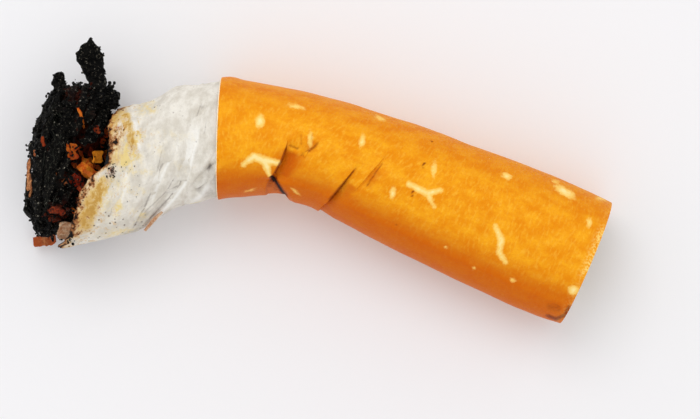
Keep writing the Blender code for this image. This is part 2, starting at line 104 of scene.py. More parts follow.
GROUND_HALF = 1500.0
corners = np.array([[-1, -1, 0], [1, -1, 0], [1, 1, 0], [-1, 1, 0]]) * GROUND_HALF
ground = bpy.data.objects.new("ground", surface_mesh("ground", corners, [[0, 1, 2, 3]]))
bpy.context.scene.collection.objects.link(ground)
ground_material, tree, shader = new_material("pale_ground")
shader.inputs["Base Color"].default_value = (0.875, 0.868, 0.885, 1.0)
shader.inputs["Roughness"].default_value = 0.9
shader.inputs["Specular IOR Level"].default_value = 0.1
ground.data.materials.append(ground_material)

sky = bpy.data.worlds.new("sky")
sky.use_nodes = True
bpy.context.scene.world = sky
tree = sky.node_tree
light_path = tree.nodes.new("ShaderNodeLightPath")
seen = tree.nodes.new("ShaderNodeMath")
seen.operation = "MAXIMUM"
tree.links.new(light_path.outputs["Is Camera Ray"], seen.inputs[0])
tree.links.new(light_path.outputs["Is Glossy Ray"], seen.inputs[1])
strength = tree.nodes.new("ShaderNodeMapRange")
strength.inputs["To Min"].default_value = 0.88
strength.inputs["To Max"].default_value = 1.0
tree.links.new(seen.outputs[0], strength.inputs["Value"])
tree.links.new(strength.outputs["Result"], tree.nodes["Background"].inputs["Strength"])
tree.nodes["Background"].inputs["Color"].default_value = (1.0, 1.0, 1.0, 1.0)

lamp = bpy.data.objects.new("window", bpy.data.lights.new("window", "AREA"))
lamp.data.shape = "DISK"
lamp.data.size = 0.16
lamp.data.energy = 0.15
lamp.location = (-0.045, 0.115, 0.22)
lamp.rotation_euler = (-lamp.location).to_track_quat("-Z", "Y").to_euler()
bpy.context.scene.collection.objects.link(lamp)
bpy.context.scene.view_settings.view_transform = "Standard"

# %% [markdown]
# The straight butt and what crushed it. All of this is in millimetres, with s measured along
# the butt from the mouth end and the angle measured round it, 90 degrees on top. The values are
# those of the solid frame, so a piece made here lies where its solid does.

# %% Sizes of the rolled sheets
RADIUS = 3.94
FILTER_LENGTH = 21.0
TIPPING_LENGTH = 25.0
TIPPING_WALL = 0.08
PAPER_WALL = 0.06
GAP = 0.04
LAP_WIDTH = 2.0
BURN_PLACE = 32.8
TAKE_UP = 0.6
FLAT_SHARE = 0.925
WRAP_RADIUS = RADIUS - TIPPING_WALL - GAP - PAPER_WALL - GAP
PLUG_RADIUS = WRAP_RADIUS - PAPER_WALL - GAP
PAPER_RADIUS = WRAP_RADIUS
ROD_RADIUS = PLUG_RADIUS
KINK = FILTER_LENGTH - 0.5
TIPPING_PLACE = TIPPING_LENGTH - TAKE_UP
BURNT_END = BURN_PLACE - TAKE_UP
MOUTH = (14.76, -3.34)
MOUTH_HEADING = 23.2
BENDS = [(-21.5, FILTER_LENGTH - 2.1, 6.4), (-21.7, TIPPING_LENGTH + 1.9, 4.6)]

FILTER_SECTION = [
    (0.00, 1.045, 1.030, 0.940),
    (0.10, 1.070, 1.070, 0.945),
    (0.24, 1.060, 1.060, 0.950),
    (0.43, 1.010, 1.020, 0.975),
    (0.62, 0.960, 0.965, 1.000),
    (0.81, 0.870, 0.890, 1.030),
    (0.95, 0.870, 0.870, 1.010),
    (1.00, 0.905, 0.850, 1.000),
    (1.09, 0.975, 0.880, 1.000),
]
PAPER_SECTION = [
    (-0.2, 1.015, 0.925, 1.000),
    (0.5, 0.970, 0.970, 0.990),
    (1.2, 0.930, 1.015, 0.980),
    (2.3, 0.910, 1.030, 0.970),
    (3.5, 0.780, 1.035, 0.950),
    (4.6, 0.810, 1.070, 0.930),
    (5.6, 0.840, 1.125, 0.910),
    (6.6, 0.860, 1.170, 0.890),
    (8.6, 0.880, 1.140, 0.860),
    (11.6, 0.880, 1.030, 0.840),
]

# %% Curves through tables


def eased(x):
    """0 before 0, 1 after 1, and 3x^2 - 2x^3 between."""
    x = np.clip(x, 0.0, 1.0)
    return x * x * (3 - 2 * x)


def smooth_curve(x, places, values):
    """Through each value at its place, the two neighbours' tangents eased into each other."""
    slopes = np.gradient(values, places)
    x = np.clip(x, places[0], places[-1])
    i = np.clip(np.searchsorted(places, x) - 1, 0, len(places) - 2)
    step = places[i + 1] - places[i]
    t = (x - places[i]) / step
    left = values[i] + slopes[i] * step * t
    right = values[i + 1] - slopes[i + 1] * step * (1 - t)
    return left + (right - left) * eased(t)


def section_table():
    """Places along the butt, and the outer, inner and upright shares of the round section."""
    first = [(share * FILTER_LENGTH, *rest) for share, *rest in FILTER_SECTION]
    last = [(TIPPING_PLACE + past, *rest) for past, *rest in PAPER_SECTION]
    return np.array([row for row in first if row[0] < last[0][0] - 0.5] + last).T


SECTION = section_table()


def heading(s):
    """The axis's heading in radians: the mouth's, plus each bend eased over its length."""
    degrees = MOUTH_HEADING + 0.0 * s
    for turn, place, length in BENDS:
        degrees = degrees + turn * eased((s - place) / length + 0.5)
    return np.radians(degrees)


AXIS_S = np.arange(-2.0, BURN_PLACE + 12, 0.02)
middle_heading = heading(AXIS_S + 0.01)
AXIS_X = np.concatenate([[0.0], np.cumsum(-np.cos(middle_heading) * 0.02)[:-1]])
AXIS_Y = np.concatenate([[0.0], np.cumsum(np.sin(middle_heading) * 0.02)[:-1]])
AXIS_X += MOUTH[0] - np.interp(0.0, AXIS_S, AXIS_X)
AXIS_Y += MOUTH[1] - np.interp(0.0, AXIS_S, AXIS_Y)
print("axis runs from", MOUTH, "to", (round(AXIS_X[-1], 1), round(AXIS_Y[-1], 1)))

# %% [markdown]
# The folds. Stubbing out pushed the cork paper over itself just before the filter's end: the
# collar stands above and the next stretch dives under it. Two shallower creases follow. Each is
# a line of straight stretches along the butt, faded out round it, and slanted by a shear.

# %% Folds of the cork paper
KINK_ROWS = np.array([
    (-1.00, 0.00, 0.00), (-0.10, 0.08, -0.10), (-0.04, 0.06, -0.14), (0.02, -0.52, -0.30),
    (0.60, -0.40, -0.55), (1.30, -0.22, -0.84), (1.38, -0.21, -0.10), (1.55, -0.16, 0.04),
    (2.10, -0.05, 0.14), (3.20, 0.00, 0.08),
])
CREASE_ROWS = np.array([(4.45, 0.00), (4.94, 0.09), (5.02, -0.38), (5.60, -0.12), (6.02, 0.00)])
SMALL_ROWS = np.array([(5.60, 0.00), (5.94, 0.06), (6.01, -0.18), (6.90, 0.00)])
FOLD_PLACES = KINK - np.concatenate([KINK_ROWS[:, 0], CREASE_ROWS[:, 0], SMALL_ROWS[:, 0]])


def between(angle, start, full, full_end, end):
    """1 from full to full_end degrees round the tube, easing to 0 at start and at end."""
    degrees = np.degrees(np.mod(angle, 2 * math.pi))
    return eased((degrees - start) / (full - start)) * eased((end - degrees) / (end - full_end))


def row_heights(s, rows, column):
    """The rows read as straight stretches, counted back from the kink."""
    return np.interp(s, KINK - rows[::-1, 0], rows[::-1, column])


def kink_line(angle):
    """Where the collar's edge runs, counted back from the kink, at each angle."""
    degrees = np.degrees(np.mod(angle, 2 * math.pi))
    return np.interp(degrees, [75, 91, 111, 128, 141, 165, 190],
        [0, 0.02, 0.02, -0.2, -0.28, -0.15, 0])


def tipping_folds(s, angle):
    """How far the cork paper stands out: the kink above and below its corner, then the creases.
    Below the corner, the far side of the pocket moves back as the crevice in the photo does."""
    degrees = np.degrees(np.mod(angle, 2 * math.pi))
    edge = kink_line(angle)
    pocket = np.interp(degrees, [129, 136, 150, 166, 185], [0.15, 0.55, 1.40, 1.95, 2.2]) - edge
    past = KINK - s - edge
    opened = np.where(past > 0, past * 1.35 / pocket, past)
    opened = np.where(past > pocket, 1.35 + (past - pocket), opened)
    low = between(angle, 129, 136, 200, 240)
    kink = row_heights(KINK - past, KINK_ROWS, 1) * (1 - low)
    kink = (kink + row_heights(KINK - opened, KINK_ROWS, 2) * low) * between(angle, 84, 106, 160,
        214)
    crease = row_heights(s, CREASE_ROWS, 1) * between(angle, 82, 134, 158, 198)
    small = row_heights(s, SMALL_ROWS, 1) * between(angle, 66, 88, 100, 122)
    return kink + crease + small


def lift(s):
    """The underside's height: rises with the power 1.6 from 17 mm to the burnt end."""
    return 0.9 * np.clip((s - 17.0) / (BURNT_END - 17.0), 0.0, 1.3) ** 1.6


def skew(s):
    """Slant of folds and burn line: length along for each length across."""
    at_folds = 0.30 * eased((s - 6) / 8) * eased((TIPPING_PLACE - s) / 4)
    return at_folds + 0.65 * np.clip((s - TIPPING_PLACE) / (BURNT_END - TIPPING_PLACE), 0, 1.1)


def section(s):
    """The three shares of the round section at each place."""
    return [smooth_curve(s, SECTION[0], row) for row in SECTION[1:]]


def crushed(s, angle, radius):
    """Straight to crushed: folds, overhang, slant, flattening, then along the bent axis."""
    radius = radius + tipping_folds(s, angle) * (radius / RADIUS) ** 2
    near_kink = np.exp(-(((s - KINK) / 0.45) ** 2)) * between(angle, 84, 106, 128, 156)
    near_crease = np.exp(-(((KINK - s - 5.0) / 0.3) ** 2)) * between(angle, 88, 120, 136, 158)
    proud = np.clip((radius / RADIUS - 0.88) / 0.12, 0.0, 1.2)
    s = s - (0.34 * near_kink + 0.14 * near_crease) * proud
    s = s - TAKE_UP * eased((s - KINK) / 2.4 + 0.6)
    y = radius * np.cos(angle)
    z = radius * np.maximum(np.sin(angle), -FLAT_SHARE)
    s = s - skew(s) * y
    outer, inner, high = section(s)
    across = y * np.where(y > 0, outer, inner)
    up = lift(s) + (z + FLAT_SHARE * RADIUS) * high
    turn = heading(s)
    x = np.interp(s, AXIS_S, AXIS_X) + np.sin(turn) * across
    y = np.interp(s, AXIS_S, AXIS_Y) + np.cos(turn) * across
    return np.stack([x, y, up], axis=-1) + SET_DOWN


# %% [markdown]
# Paper is never smooth after it has been crushed. Random but repeatable unevenness comes from
# one helper that gives each corner of a lattice a value and blends between the corners. Sharper
# creases are drawn as lines in the photograph's own pixels, and the sheet sinks along them.

# %% Unevenness and distance to a line


def noise(points, seed=0.0):
    """Smooth values from -1 to 1: a sine hash at each lattice corner, blended by eased weights."""
    corner = np.floor(points)
    share = eased(points - corner)
    total = np.zeros(points.shape[:-1])
    for step in np.ndindex(2, 2, 2):
        value = np.sin((corner + step) @ [127.1, 311.7, 74.7] + seed * 19.19) * 43758.5453
        weight = np.prod(np.where(step, share, 1 - share), axis=-1)
        total += (2 * (value - np.floor(value)) - 1) * weight
    return total


def rough(points, cell, octaves=3, seed=0.0):
    """Noise of this cell size plus half as much at each half size."""
    return sum(noise(points * 2**k / cell, seed + k) / 2**k for k in range(octaves))


def line_distance(x, y, line):
    """Distance to a line of pixels, its side (right is positive going down) and the share along."""
    line = np.asarray(line, float)[:, :2]
    lengths = np.hypot(*np.diff(line, axis=0).T)
    runs = np.concatenate([[0.0], np.cumsum(lengths)])
    best = np.full(np.shape(x), 1e9)
    side = np.zeros(np.shape(x))
    along = np.zeros(np.shape(x))
    for i, (start, end) in enumerate(zip(line[:-1], line[1:])):
        way = end - start
        t = np.clip(((x - start[0]) * way[0] + (y - start[1]) * way[1]) / (way @ way), 0, 1)
        off_x = x - start[0] - t * way[0]
        off_y = y - start[1] - t * way[1]
        gap = np.hypot(off_x, off_y)
        nearer = gap < best
        best = np.where(nearer, gap, best)
        side = np.where(nearer, np.sign(way[1] * off_x - way[0] * off_y), side)
        along = np.where(nearer, (runs[i] + t * lengths[i]) / runs[-1], along)
    return best, side, along


def soft_lines(x, y, lines):
    """The largest of strength * exp(-(distance / half width)^2), weaker at both ends. A line is
    its strength, its half width in mm and its stops in pixels."""
    most = np.zeros(np.shape(x))
    for strength, half, line in lines:
        gap, _, along = line_distance(x, y, line)
        ends = eased(along / 0.2 + 0.15) * eased((1 - along) / 0.2 + 0.15)
        most = np.maximum(most, strength * ends * np.exp(-((gap / (half * PIXELS_PER_MM)) ** 2)))
    return most


# %% Creases drawn over the photograph
# Each: depth in mm, width left and right of the line in mm, and the line in pixels.
CREASES = [
    (0.16, 0.35, 0.30, [(302.6, 160), (306.5, 152.3), (315, 146.6), (319, 140.8)]),
    (0.10, 0.15, 0.35, [(287, 144), (297, 149), (301, 147)]),
    (0.08, 0.14, 0.14, [(301, 131), (301.5, 147)]),
    (0.28, 0.26, 0.20, [(213, 90), (195.4, 118.4), (192.2, 140), (186.8, 161.8)]),
    (0.34, 0.20, 0.30, [(187, 160), (180.3, 183.5), (169.4, 197.6), (154.2, 213.8), (141, 227)]),
    (0.40, 0.20, 0.24, [(217, 159), (204, 177), (194.4, 192)]),
    (0.22, 0.26, 0.34, [(174.8, 135.7), (170.5, 151), (160.7, 167.2), (152, 189)]),
    (0.28, 0.24, 0.34, [(153, 187), (145.6, 205), (131.5, 231)]),
    (0.22, 0.18, 0.18, [(116.3, 119), (113, 134), (114, 151)]),
    (0.24, 0.20, 0.20, [(125, 114), (128, 134), (132.5, 153)]),
    (0.16, 0.20, 0.20, [(137, 112), (141, 126), (143, 140)]),
    (0.16, 0.24, 0.24, [(178, 172), (166, 192), (150, 207), (138, 219)]),
    (0.14, 0.20, 0.24, [(120, 190), (112, 207), (106, 224)]),
]
FACETS = [
    (0.05, 0.5, 1.2, [(329, 113), (338, 130), (350, 152)]),
    (0.05, 1.0, 0.5, [(376, 128), (381, 140), (386, 154)]),
    (0.05, 0.8, 0.8, [(306, 116), (312, 136)]),
]


def crease_depth(across, down):
    """Minus each depth times exp(-distance / width), a sharp valley, plus a third of it as a
    rounded ridge 1.9 widths away on both sides. Faded at both ends of the line."""
    depth = np.zeros(np.shape(across))
    for deep, left, right, line in CREASES + FACETS:
        gap, side, along = line_distance(across, down, line)
        share = gap / (np.where(side > 0, right, left) * PIXELS_PER_MM)
        ends = eased(along / 0.2 + 0.15) * eased((1 - along) / 0.2 + 0.15)
        depth -= deep * ends * (np.exp(-1.3 * share) - 0.33 * np.exp(-((share - 1.9) ** 2) * 2))
    return depth


def wrinkles(s, angle):
    """Long low ridges on the white paper that follow its twist, and slight waves elsewhere."""
    y = RADIUS * np.cos(angle)
    flow = s + 0.36 * y - 0.57 * np.maximum(-2 - y, 0)
    ways = np.stack([flow / 0.95, angle * 0.9, 0 * s + 3.3], axis=-1)
    fine = np.stack([flow / 0.42, angle * 2.2, 0 * s + 7.7], axis=-1)
    ridges = 0.5 - np.abs(noise(ways)) + 0.4 * (0.5 - np.abs(noise(fine, 5)))
    on_white = eased((s - TIPPING_LENGTH) / 0.9)
    plain = np.stack([s, np.cos(angle) * RADIUS, np.sin(angle) * RADIUS], axis=-1)
    return 0.16 * ridges * on_white + 0.02 * rough(plain, 2.6, 3, 2) * eased(s / 1.5)


def shaped(s, angle, radius):
    """The crushed place, moved in or out by creases and wrinkles times (radius / outer)^2."""
    skin = crushed(s, angle, RADIUS + 0 * s)
    out = skin - crushed(s, angle, 0 * s)
    out /= np.maximum(np.linalg.norm(out, axis=-1, keepdims=True), 0.01)
    across, down = seen_at(skin)
    above = eased(np.sin(angle) / 0.4 + 0.4)
    rise = crease_depth(across, down) * above + wrinkles(s, angle)
    near_fold = np.exp(-(((KINK - s - 0.6) / 1.1) ** 2)) * above
    give = np.where(radius < RADIUS - TIPPING_WALL - GAP / 2, 0.3 * near_fold, 0.0)
    return crushed(s, angle, radius - give) + out * (rise * (radius / RADIUS) ** 2)[..., None]


test = shaped(np.array([0.0, 12.5, 25.0]), np.full(3, math.pi / 2), np.full(3, RADIUS))
print("top of the tip at its mouth, middle and collar, mm high:", test[:, 2].round(2))

# %% [markdown]
# A rolled sheet is a grid: rows along the butt and columns round it, from one edge of the glued
# lap right round and over to the other. It could be one surface with a Solidify modifier, but
# that doubles the small faces on the hidden inside. So the outside is fine and the inside is
# made from every few rows of it, and both are joined along all four edges.

# %% Grids, sheets and pieces


def spread(stops):
    """Places with a spacing that changes evenly between stops of (place, spacing)."""
    places = [stops[0][0]]
    where, steps = np.array(stops, float).T
    while places[-1] < where[-1]:
        places.append(places[-1] + float(np.interp(places[-1], where, steps)))
    places[-1] = where[-1]
    return np.array(places)


def merged(places, exact, least):
    """Sorted places with the exact ones added and any that is too near an exact one left out."""
    gap = np.abs(places[:, None] - np.asarray(exact)[None, :]).min(axis=1)
    inner = (gap > least) | (places == places[0]) | (places == places[-1])
    exact = exact[(exact > places[0] + least) & (exact < places[-1] - least)]
    return np.unique(np.concatenate([places[inner], exact]))


def grid_faces(rows, columns, round_columns=False):
    """Four corners of each cell of a grid, numbered row by row."""
    row = np.arange(rows - 1)[:, None]
    column = np.arange(columns if round_columns else columns - 1)[None, :]
    right = (column + 1) % columns
    corners = [row * columns + column, row * columns + right]
    corners += [(row + 1) * columns + right, (row + 1) * columns + column]
    return np.stack(corners, axis=-1).reshape(-1, 4)


def add_values(mesh, **values):
    """Stores arrays of numbers, or of threes, on the points under their names."""
    for name, value in values.items():
        kind = "FLOAT_VECTOR" if np.ndim(value) > 1 else "FLOAT"
        layer = mesh.attributes.new(name, kind, "POINT")
        key = "vector" if kind == "FLOAT_VECTOR" else "value"
        layer.data.foreach_set(key, np.asarray(value, np.float32).ravel())


def enclosed_volume(mesh):
    """Sum over the triangles of corner . (corner x corner) / 6: negative if turned inside out."""
    mesh.calc_loop_triangles()
    points = np.empty(len(mesh.vertices) * 3)
    mesh.vertices.foreach_get("co", points)
    numbers = np.empty(len(mesh.loop_triangles) * 3, np.int32)
    mesh.loop_triangles.foreach_get("vertices", numbers)
    a, b, c = points.reshape(-1, 3)[numbers.reshape(-1, 3)].transpose(1, 0, 2)
    return float((a * np.cross(b, c)).sum() / 6)


def new_piece(name, points, faces, materials, stands_for, slot, sharp=40.0, **values):
    """An object of the butt: its mesh, materials and the solids it stands for. The slot is not
    used.
    """
    mesh = surface_mesh(name, points, faces)
    add_values(mesh, **values)
    if enclosed_volume(mesh) < 0:
        mesh.flip_normals()
    for material in materials:
        mesh.materials.append(material)
    mesh.shade_smooth()
    mesh.set_sharp_from_angle(angle=math.radians(sharp))
    piece = bpy.data.objects.new(name, mesh)
    bpy.context.scene.collection.objects.link(piece)
    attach(piece, "root")
    if stands_for:
        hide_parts(*stands_for)
    count = sum(len(polygon.vertices) - 2 for polygon in mesh.polygons)
    print(f"{name}: {count} triangles")
    return piece


def sheet_turns(seam, radius, fine, coarse):
    """Angles from the seam right round and over the lap: close on the upper side."""
    places = [0.0]
    end = 2 * math.pi + LAP_WIDTH / radius
    while places[-1] < end:
        up = math.sin(seam + places[-1])
        places.append(places[-1] + (coarse + (fine - coarse) * float(eased(up / 0.5 + 1))) / radius)
    places[-1] = end
    return np.array(places)


def lap_radius(turns, radius, wall):
    """The sheet's outer radius: it climbs over its own first edge just before a full turn."""
    return radius + (wall + GAP) * eased((turns - 2 * math.pi) / 0.42 + 1)


def rolled(rows, turns, seam, radius, wall, every, far_edge=None, bevel=0.0):
    """Outer and inner points of a rolled sheet, the faces, and s, angle for each point. The
    outer edge of the far end stops the bevel short, so the cut through the paper shows."""
    s = np.repeat(rows[:, None], len(turns), axis=1)
    angle = np.repeat((seam + turns)[None, :], len(rows), axis=0)
    s = s - kink_line(angle) * np.exp(-(((s - KINK) / 0.8) ** 2))
    if far_edge is not None:
        share = np.clip((s - TIPPING_LENGTH) / (rows[-1] - TIPPING_LENGTH), 0, 1)
        s = s + share * (far_edge(seam + turns)[None, :] - rows[-1])
    reach = np.repeat(lap_radius(turns, radius, wall)[None, :], len(rows), axis=0)
    at_folds = np.abs(rows[:, None] - FOLD_PLACES).argmin(axis=0)[
        (FOLD_PLACES > rows[0]) & (FOLD_PLACES < rows[-1])]
    kept = np.unique(np.concatenate([np.arange(0, len(rows), every), at_folds, [len(rows) - 1]]))
    cut = np.where(np.arange(len(rows)) == len(rows) - 1, bevel, 0.0)[:, None]
    outer = shaped(s - cut, angle, reach)
    inner = shaped(s[kept], angle[kept], reach[kept] - wall)
    points = np.concatenate([outer.reshape(-1, 3), inner.reshape(-1, 3)])
    columns = len(turns)
    start = outer.shape[0] * columns
    outside = grid_faces(len(rows), columns)
    inside = grid_faces(len(kept), columns)[:, ::-1] + start
    across = np.arange(columns - 1)
    first = np.stack([across, start + across, start + across + 1, across + 1], axis=-1)
    base = (len(rows) - 1) * columns
    under = start + (len(kept) - 1) * columns
    last = np.stack([base + across, base + across + 1, under + across + 1, under + across], -1)
    faces = [*outside, *inside, *first, *last]
    for i, (low, high) in enumerate(zip(kept[:-1], kept[1:])):
        run = np.arange(low, high + 1) * columns
        pair = [start + (i + 1) * columns, start + i * columns]
        faces.append([*run, *pair])
        run = run[::-1] + columns - 1
        faces.append([*run, pair[1] + columns - 1, pair[0] + columns - 1])
    all_s = np.concatenate([s.ravel(), s[kept].ravel()])
    all_angle = np.concatenate([angle.ravel(), angle[kept].ravel()])
    ends = len(outside) + len(inside)
    return points, faces, all_s, all_angle, (ends, len(first), len(last))

# %% [markdown]
# The cork pattern is a printed field of irregular pale flecks. Each is an ellipse or a stroke,
# kept as its distance in millimetres from the fleck's edge, worked out on every point. The
# finish then cuts it at zero with a little unevenness, so the edges look printed and not drawn.
# The side that the photograph doesn't show gets flecks of the same kind on a jittered grid.

# %% Flecks of the cork pattern
ELLIPSES = [
    (260, 121, 4.6, 7.2, 5), (296.5, 106.5, 7.2, 2.2, 12), (310.3, 139, 2.3, 8, 4),
    (362.3, 141, 2.9, 6.6, 8), (380.5, 118.4, 4.6, 1.7, 20), (392.8, 193, 3.2, 6.4, 8),
    (434, 169, 2.5, 7, 8), (507, 176, 5, 3, 20), (564.5, 191.5, 11.5, 4.2, 30),
    (556, 182, 3, 1.8, 20), (600.5, 198.8, 4, 1.4, 15), (589, 222.5, 2.5, 4.6, 0),
    (573.5, 290, 5.6, 4.4, 10), (512.5, 280, 3, 1.8, 30), (295.4, 191.4, 3.6, 0.9, 40),
    (251, 190, 3.4, 0.8, -15), (474, 268, 1.6, 1.2, 0), (446, 247, 1.5, 1.0, 0),
]
STROKES = [
    [(243.5, 164.2, 2.4), (254, 156.6, 4.4), (264, 160.5, 4.6), (278, 162.7, 3.0)],
    [(265, 161, 5.0), (269.5, 175, 2.2)],
    [(409, 184, 2.8), (418, 189, 3.2), (427.6, 193.5, 3.4), (440.6, 190.2, 2.2)],
    [(427.6, 193.5, 3.4), (434, 207, 1.8)],
    [(495, 225.5, 2.4), (501, 239.5, 3.4), (499.5, 253, 3.2), (505.6, 262.4, 2.2)],
]


def inside_ellipse(x, y, middle_x, middle_y, half_x, half_y, tilt):
    """(1 - the point's share of the ellipse's radius) times its smaller half size."""
    turn = math.radians(tilt)
    u = (x - middle_x) * math.cos(turn) + (y - middle_y) * math.sin(turn)
    v = (y - middle_y) * math.cos(turn) - (x - middle_x) * math.sin(turn)
    return (1 - np.hypot(u / half_x, v / half_y)) * min(half_x, half_y)


def inside_stroke(x, y, line):
    """The stroke's half width at the nearest place of its line, less the distance to it."""
    gap, _, along = line_distance(x, y, line)
    line = np.array(line)
    lengths = np.concatenate([[0], np.cumsum(np.hypot(*np.diff(line[:, :2], axis=0).T))])
    return np.interp(along, lengths / lengths[-1], line[:, 2]) - gap


# Painted shade: dark lines along the folds and the collar's crevice. The last six are a real stain
# at the mouth end's lower corner and small nicks in the print. Below, wider bands of painted shade.
SOOT = [
    (0.7, 0.08, [(288, 143), (281, 161.5), (273.5, 175), (268, 185)]),
    (1.1, 0.13, [(272, 173), (276, 181.5), (282, 191), (288, 198)]),
    (1.1, 0.18, [(271, 175), (275, 182)]), (0.32, 0.25, [(270, 178), (270, 188)]),
    (0.32, 0.22, [(275, 184), (277, 191)]), (0.7, 0.07, [(358, 166), (342, 185), (326.6, 204)]),
    (0.6, 0.11, [(348, 178), (337, 191), (327, 203)]),
    (0.5, 0.06, [(384, 161), (374, 175), (365, 189)]), (0.3, 0.10, [(376, 172), (366, 187)]),
    (0.4, 0.10, [(288, 144.6), (297, 148.5), (300, 147.5)]),
    (0.3, 0.09, [(301, 133), (301.5, 147)]),
    (0.45, 0.11, [(302.6, 159), (306.5, 152.3), (315, 146.6), (318.9, 140.8)]),
    (0.25, 0.09, [(313, 132), (311, 141)]), (0.3, 0.09, [(301, 157), (303, 152)]),
    (0.75, 0.13, [(544, 314), (556, 319), (565, 315), (571, 303)]),
    (0.3, 0.3, [(545, 306), (563, 309)]),
    (0.8, 0.06, [(425, 162), (422, 169)]), (0.8, 0.06, [(413.5, 190), (411.5, 197)]),
    (0.8, 0.05, [(431, 140), (433, 143)]), (0.5, 0.05, [(396, 223), (397, 227)]),
]
SHADE = [
    (0.85, 0.85, [(294, 150), (288, 166), (283, 180)]), (0.7, 0.7, [(283, 182), (297, 203)]),
    (0.7, 0.5, [(354, 184), (340, 203)]), (0.4, 0.3, [(380, 170), (366, 189)]),
    (0.6, 0.35, [(262, 172), (266, 186)]), (0.4, 0.3, [(314, 140), (308, 152)]),
]


def seen_flecks(x, y):
    """The largest of all the flecks' inside distances, from pixels to millimetres."""
    inside = [inside_ellipse(x, y, *ellipse) for ellipse in ELLIPSES]
    inside += [inside_stroke(x, y, line) for line in STROKES]
    return np.max(inside, axis=0) / PIXELS_PER_MM


def grid_flecks(s, arc):
    """One slanted ellipse in each 3.4 mm cell, jittered, and the nearest of nine cells kept."""
    cell = np.stack([np.floor(s / 3.4), np.floor(arc / 3.4)], axis=-1)
    best = np.full(s.shape, -9.0)
    for step in np.ndindex(3, 3):
        there = cell + step - 1
        number = [
            np.sin(there @ [12.99, 78.23] + seed) * 43758.5453 % 1.0 for seed in range(4)
        ]
        u = s - (there[..., 0] + 0.2 + 0.6 * number[0]) * 3.4
        v = arc - (there[..., 1] + 0.2 + 0.6 * number[1]) * 3.4
        turn = number[2] * 3.14
        along = u * np.cos(turn) + v * np.sin(turn) + 0.3 * np.sin(u * 5 + number[3] * 6)
        beside = v * np.cos(turn) - u * np.sin(turn)
        half = 0.12 + 0.16 * number[3]
        inside = (1 - np.hypot(along / (half * 2.6), beside / half)) * half
        best = np.maximum(best, inside)
    return best


# %% [markdown]
# Finishes are small node trees. One helper adds a node, sets its settings and fills its inputs
# with numbers or with other nodes' outputs, so each material reads as a short recipe.

# %% Helpers for materials


def add(tree, kind, inputs=None, **settings):
    """A shader node of this kind, with settings, and inputs given as values or as sockets."""
    made = tree.nodes.new("ShaderNode" + kind)
    for name, value in settings.items():
        setattr(made, name, value)
    for name, value in (inputs or {}).items():
        if isinstance(value, bpy.types.NodeSocket):
            tree.links.new(value, made.inputs[name])
        else:
            made.inputs[name].default_value = value
    return made


def colour(red, green, blue):
    """A screen colour of 0 to 255 as the linear one that a shader takes."""
    share = np.array([red, green, blue]) / 255
    linear = np.where(share > 0.04045, ((share + 0.055) / 1.055) ** 2.4, share / 12.92)
    return (*linear.tolist(), 1.0)


def value_of(tree, name):
    """A number that is stored on the points."""
    return add(tree, "Attribute", attribute_name=name).outputs["Fac"]


def place_of(tree, name=None, stretch=(1, 1, 1)):
    """Object coordinates in mm, or a stored place, each direction times its stretch."""
    if name:
        source = add(tree, "Attribute", attribute_name=name).outputs["Vector"]
    else:
        source = add(tree, "TexCoord").outputs["Object"]
        stretch = [1000 * part for part in stretch]
    return add(tree, "Mapping", {"Vector": source, "Scale": stretch}).outputs["Vector"]


def noise_of(tree, place, scale, detail=4.0, roughness=0.55):
    """Blender's noise, 0 to 1 with most of it near 0.5."""
    inputs = {"Vector": place, "Scale": scale, "Detail": detail, "Roughness": roughness}
    return add(tree, "TexNoise", inputs).outputs["Fac"]


def ramp(tree, value, start, end, low=0.0, high=1.0):
    """low before start, high after end, and a smooth step between."""
    inputs = {"Value": value, "From Min": start, "From Max": end, "To Min": low, "To Max": high}
    return add(tree, "MapRange", inputs, interpolation_type="SMOOTHSTEP").outputs["Result"]


def maths(tree, operation, *values):
    """One sum on numbers or sockets, for instance MULTIPLY_ADD of three."""
    return add(tree, "Math", dict(enumerate(values)), operation=operation).outputs[0]


def mixed(tree, share, first, second):
    """The first colour at share 0 and the second at 1."""
    made = add(tree, "Mix", {0: share, 6: first, 7: second}, data_type="RGBA")
    return made.outputs[2]


def bumped(tree, shader, height, distance, strength=1.0):
    """Bump from a height of 0 to 1 that is worth this distance in mm."""
    inputs = {"Height": height, "Distance": distance * MM, "Strength": strength}
    tree.links.new(add(tree, "Bump", inputs).outputs["Normal"], shader.inputs["Normal"])


# %% [markdown]
# Cork paper: an orange ground with broad paler blotches, faint streaks of paper fibre that run
# round the tube, and the flecks. Coated paper is smooth but not glossy. Painted shade: a darker,
# redder orange on the sides that turn down and up, and in bands beside the folds.

# %% Cork paper
cork, tree, shader = new_material("cork_paper")
unrolled = place_of(tree, "unrolled", (0.75, 1.1, 1.0))
streaks = noise_of(tree, place_of(tree, "unrolled", (6.0, 2.0, 1.0)), 1.0, 3)
blotches = ramp(tree, noise_of(tree, unrolled, 1.0, 5, 0.6), 0.34, 0.66)
grain = noise_of(tree, place_of(tree), 7.0, 4, 0.6)
ground_tone = mixed(tree, blotches, colour(236, 144, 8), colour(250, 174, 28))
ground_tone = mixed(tree, ramp(tree, streaks, 0.48, 0.68, 0, 0.5), ground_tone,
    colour(254, 190, 58))
ground_tone = mixed(tree, ramp(tree, grain, 0.35, 0.7, 0.3, 0), ground_tone, colour(226, 128, 18))
# Painted shade: a darker, redder orange on the turned sides and beside the folds.
ground_tone = mixed(tree, value_of(tree, "deeper"), ground_tone, colour(200, 84, 4))
edge = maths(tree, "MULTIPLY_ADD", noise_of(tree, place_of(tree), 3.2, 5, 0.7), 0.36, -0.18)
fleck = maths(tree, "ADD", value_of(tree, "fleck"), edge)
ground_tone = mixed(tree, ramp(tree, fleck, -0.08, 0.08, 0, 0.88), ground_tone,
    colour(252, 208, 106))
ground_tone = mixed(tree, ramp(tree, fleck, 0.05, 0.24, 0, 0.85), ground_tone,
    colour(255, 234, 164))
# Painted shade along the folds, brown then black in the crevice; also the real stain and nicks.
soot = maths(tree, "ADD", value_of(tree, "soot"), maths(tree, "MULTIPLY_ADD", grain, 0.5, -0.25))
